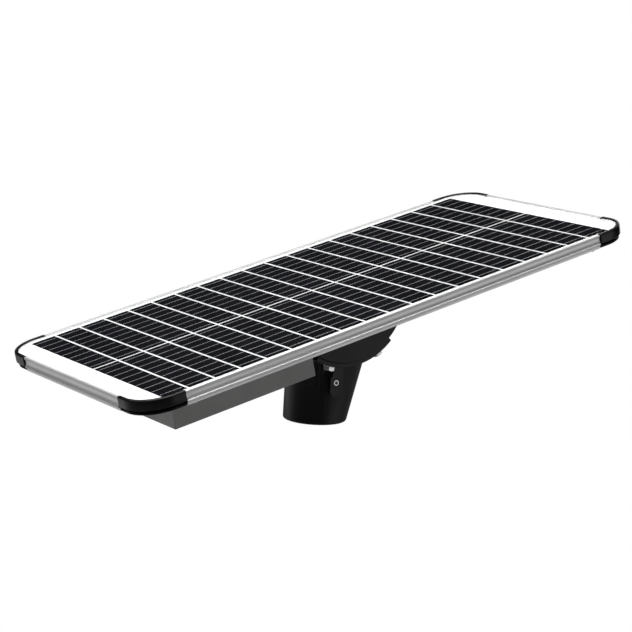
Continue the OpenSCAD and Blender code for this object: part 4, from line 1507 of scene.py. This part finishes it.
@dataclass
class Studio:
    """A pale floor, soft light and the camera."""

    target: tuple[float, float, float] = (-0.0071, -0.0012, 0.1296)
    distance: float = 2.4958
    azimuth: float = -34.58
    elevation: float = 9.576
    roll: float = 3.31
    lens: float = 115.84
    sensor: float = 36.0
    floor_level: float = -1.3
    floor_half: float = 12.0
    lamps: tuple[Lamp, ...] = field(default_factory=lambda: (
        Lamp("overhead_softbox", (-0.3, 0.1, 2.2), (-0.1, 0.0, 0.15), (2.6, 2.2), 96.0),
        Lamp("front_card", (2.6, -3.2, -0.15), (0.0, 0.0, 0.12), (3.4, 2.2), 24.0),
        Lamp("low_back_card", (-1.3, 2.0, -1.0), (-0.2, 0.0, 0.12), (2.2, 2.0), 9.0),
        Lamp("left_card", (-2.8, 0.6, 0.5), (0.0, 0.0, 0.15), (1.2, 1.6), 2.0),
        Lamp("right_card", (2.4, 1.6, 0.5), (0.1, 0.0, 0.1), (1.2, 1.6), 14.0),
    ))

    def build_camera(self) -> None:
        """Sets the camera at its distance from the target, turned by its roll."""
        a, e, r = (math.radians(v) for v in (self.azimuth, self.elevation, self.roll))
        back = Vector((math.sin(a) * math.cos(e), -math.cos(a) * math.cos(e), math.sin(e)))
        level_right = Vector((0, 0, 1)).cross(back).normalized()
        level_up = back.cross(level_right)
        right = level_right * math.cos(r) + level_up * math.sin(r)
        up = level_up * math.cos(r) - level_right * math.sin(r)
        data = bpy.data.cameras.new("camera")
        data.lens, data.sensor_width, data.sensor_fit = self.lens, self.sensor, "HORIZONTAL"
        data.clip_start, data.clip_end = 0.05, 60.0
        camera = bpy.data.objects.new("camera", data)
        place = Matrix((right, up, back)).transposed().to_4x4()
        place.translation = Vector(self.target) + back * self.distance
        camera.matrix_world = place
        bpy.context.scene.collection.objects.link(camera)
        bpy.context.scene.camera = camera

    def build_floor(self) -> None:
        """Lays a pale floor that reads as the backdrop and is open from below."""
        h, z = self.floor_half, self.floor_level
        mesh = bpy.data.meshes.new("floor")
        mesh.from_pydata([(-h, -h, z), (h, -h, z), (h, h, z), (-h, h, z)], [], [(0, 1, 2, 3)])
        floor = bpy.data.objects.new("floor", mesh)
        bpy.context.scene.collection.objects.link(floor)
        graph, shader, material = started("pale_floor")
        graph.feed(shader, {"Base Color": grey(0.42), "Roughness": 0.9})
        seen = graph.add("ShaderNodeLightPath").outputs["Is Camera Ray"]
        pale = graph.add("ShaderNodeEmission", {"Color": grey(1.0), "Strength": 1.0})
        top = graph.blend(seen, shader, pale)
        below = graph.add("ShaderNodeNewGeometry").outputs["Backfacing"]
        clear = graph.add("ShaderNodeBsdfTransparent")
        surface = graph.blend(below, top, clear).outputs[0]
        graph.feed(material.node_tree.nodes["Material Output"], {"Surface": surface})
        mesh.materials.append(material)

    def build_world(self) -> None:
        """Makes the room: white to look at, dim in reflections."""
        world = bpy.data.worlds.new("room")
        bpy.context.scene.world = world
        world.use_nodes = True
        graph = Graph(world.node_tree)
        seen = graph.add("ShaderNodeLightPath").outputs["Is Camera Ray"]
        way = graph.add("ShaderNodeTexCoord").outputs["Generated"]
        height = graph.add("ShaderNodeSeparateXYZ", {0: way}).outputs["Z"]
        lift = graph.remap(height, 0.45, 0.95, 0.0, 1.0)
        dim = graph.mix(lift, grey(0.012), grey(0.45))
        colour = graph.mix(seen, dim, grey(1.0))
        graph.feed(world.node_tree.nodes["Background"], {"Color": colour})

    def build(self) -> None:
        """Sets up the camera, the floor and the light."""
        self.build_camera()
        self.build_floor()
        self.build_world()
        for lamp in self.lamps:
            lamp.build()
        bpy.context.scene.view_settings.view_transform = "Standard"
        LOG.info("studio with %d lights", len(self.lamps))


def main() -> None:
    """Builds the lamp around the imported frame."""
    logging.basicConfig(level=logging.INFO, format="%(name)s: %(message)s")
    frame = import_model()
    FRAME_PARTS.update(frame["nodes"])
    tilt_joint = next(j for j in frame["joints"] if j["name"] == "head_tilt")
    axis = tuple(tilt_joint["pos_m"])
    head = Head(axis, REST_TILT)
    finishes = Finishes(head.tilt)
    Studio().build()
    panel_frame = PanelFrame(head, finishes)
    panel_frame.build()
    SolarPanel(head, finishes, panel_frame).build()
    BackPlate(head, finishes).build()
    LightBox(head, finishes).build()
    TiltBase(head, finishes).build()
    PoleSleeve(axis, finishes).build()


if __name__ == "__main__":
    main()
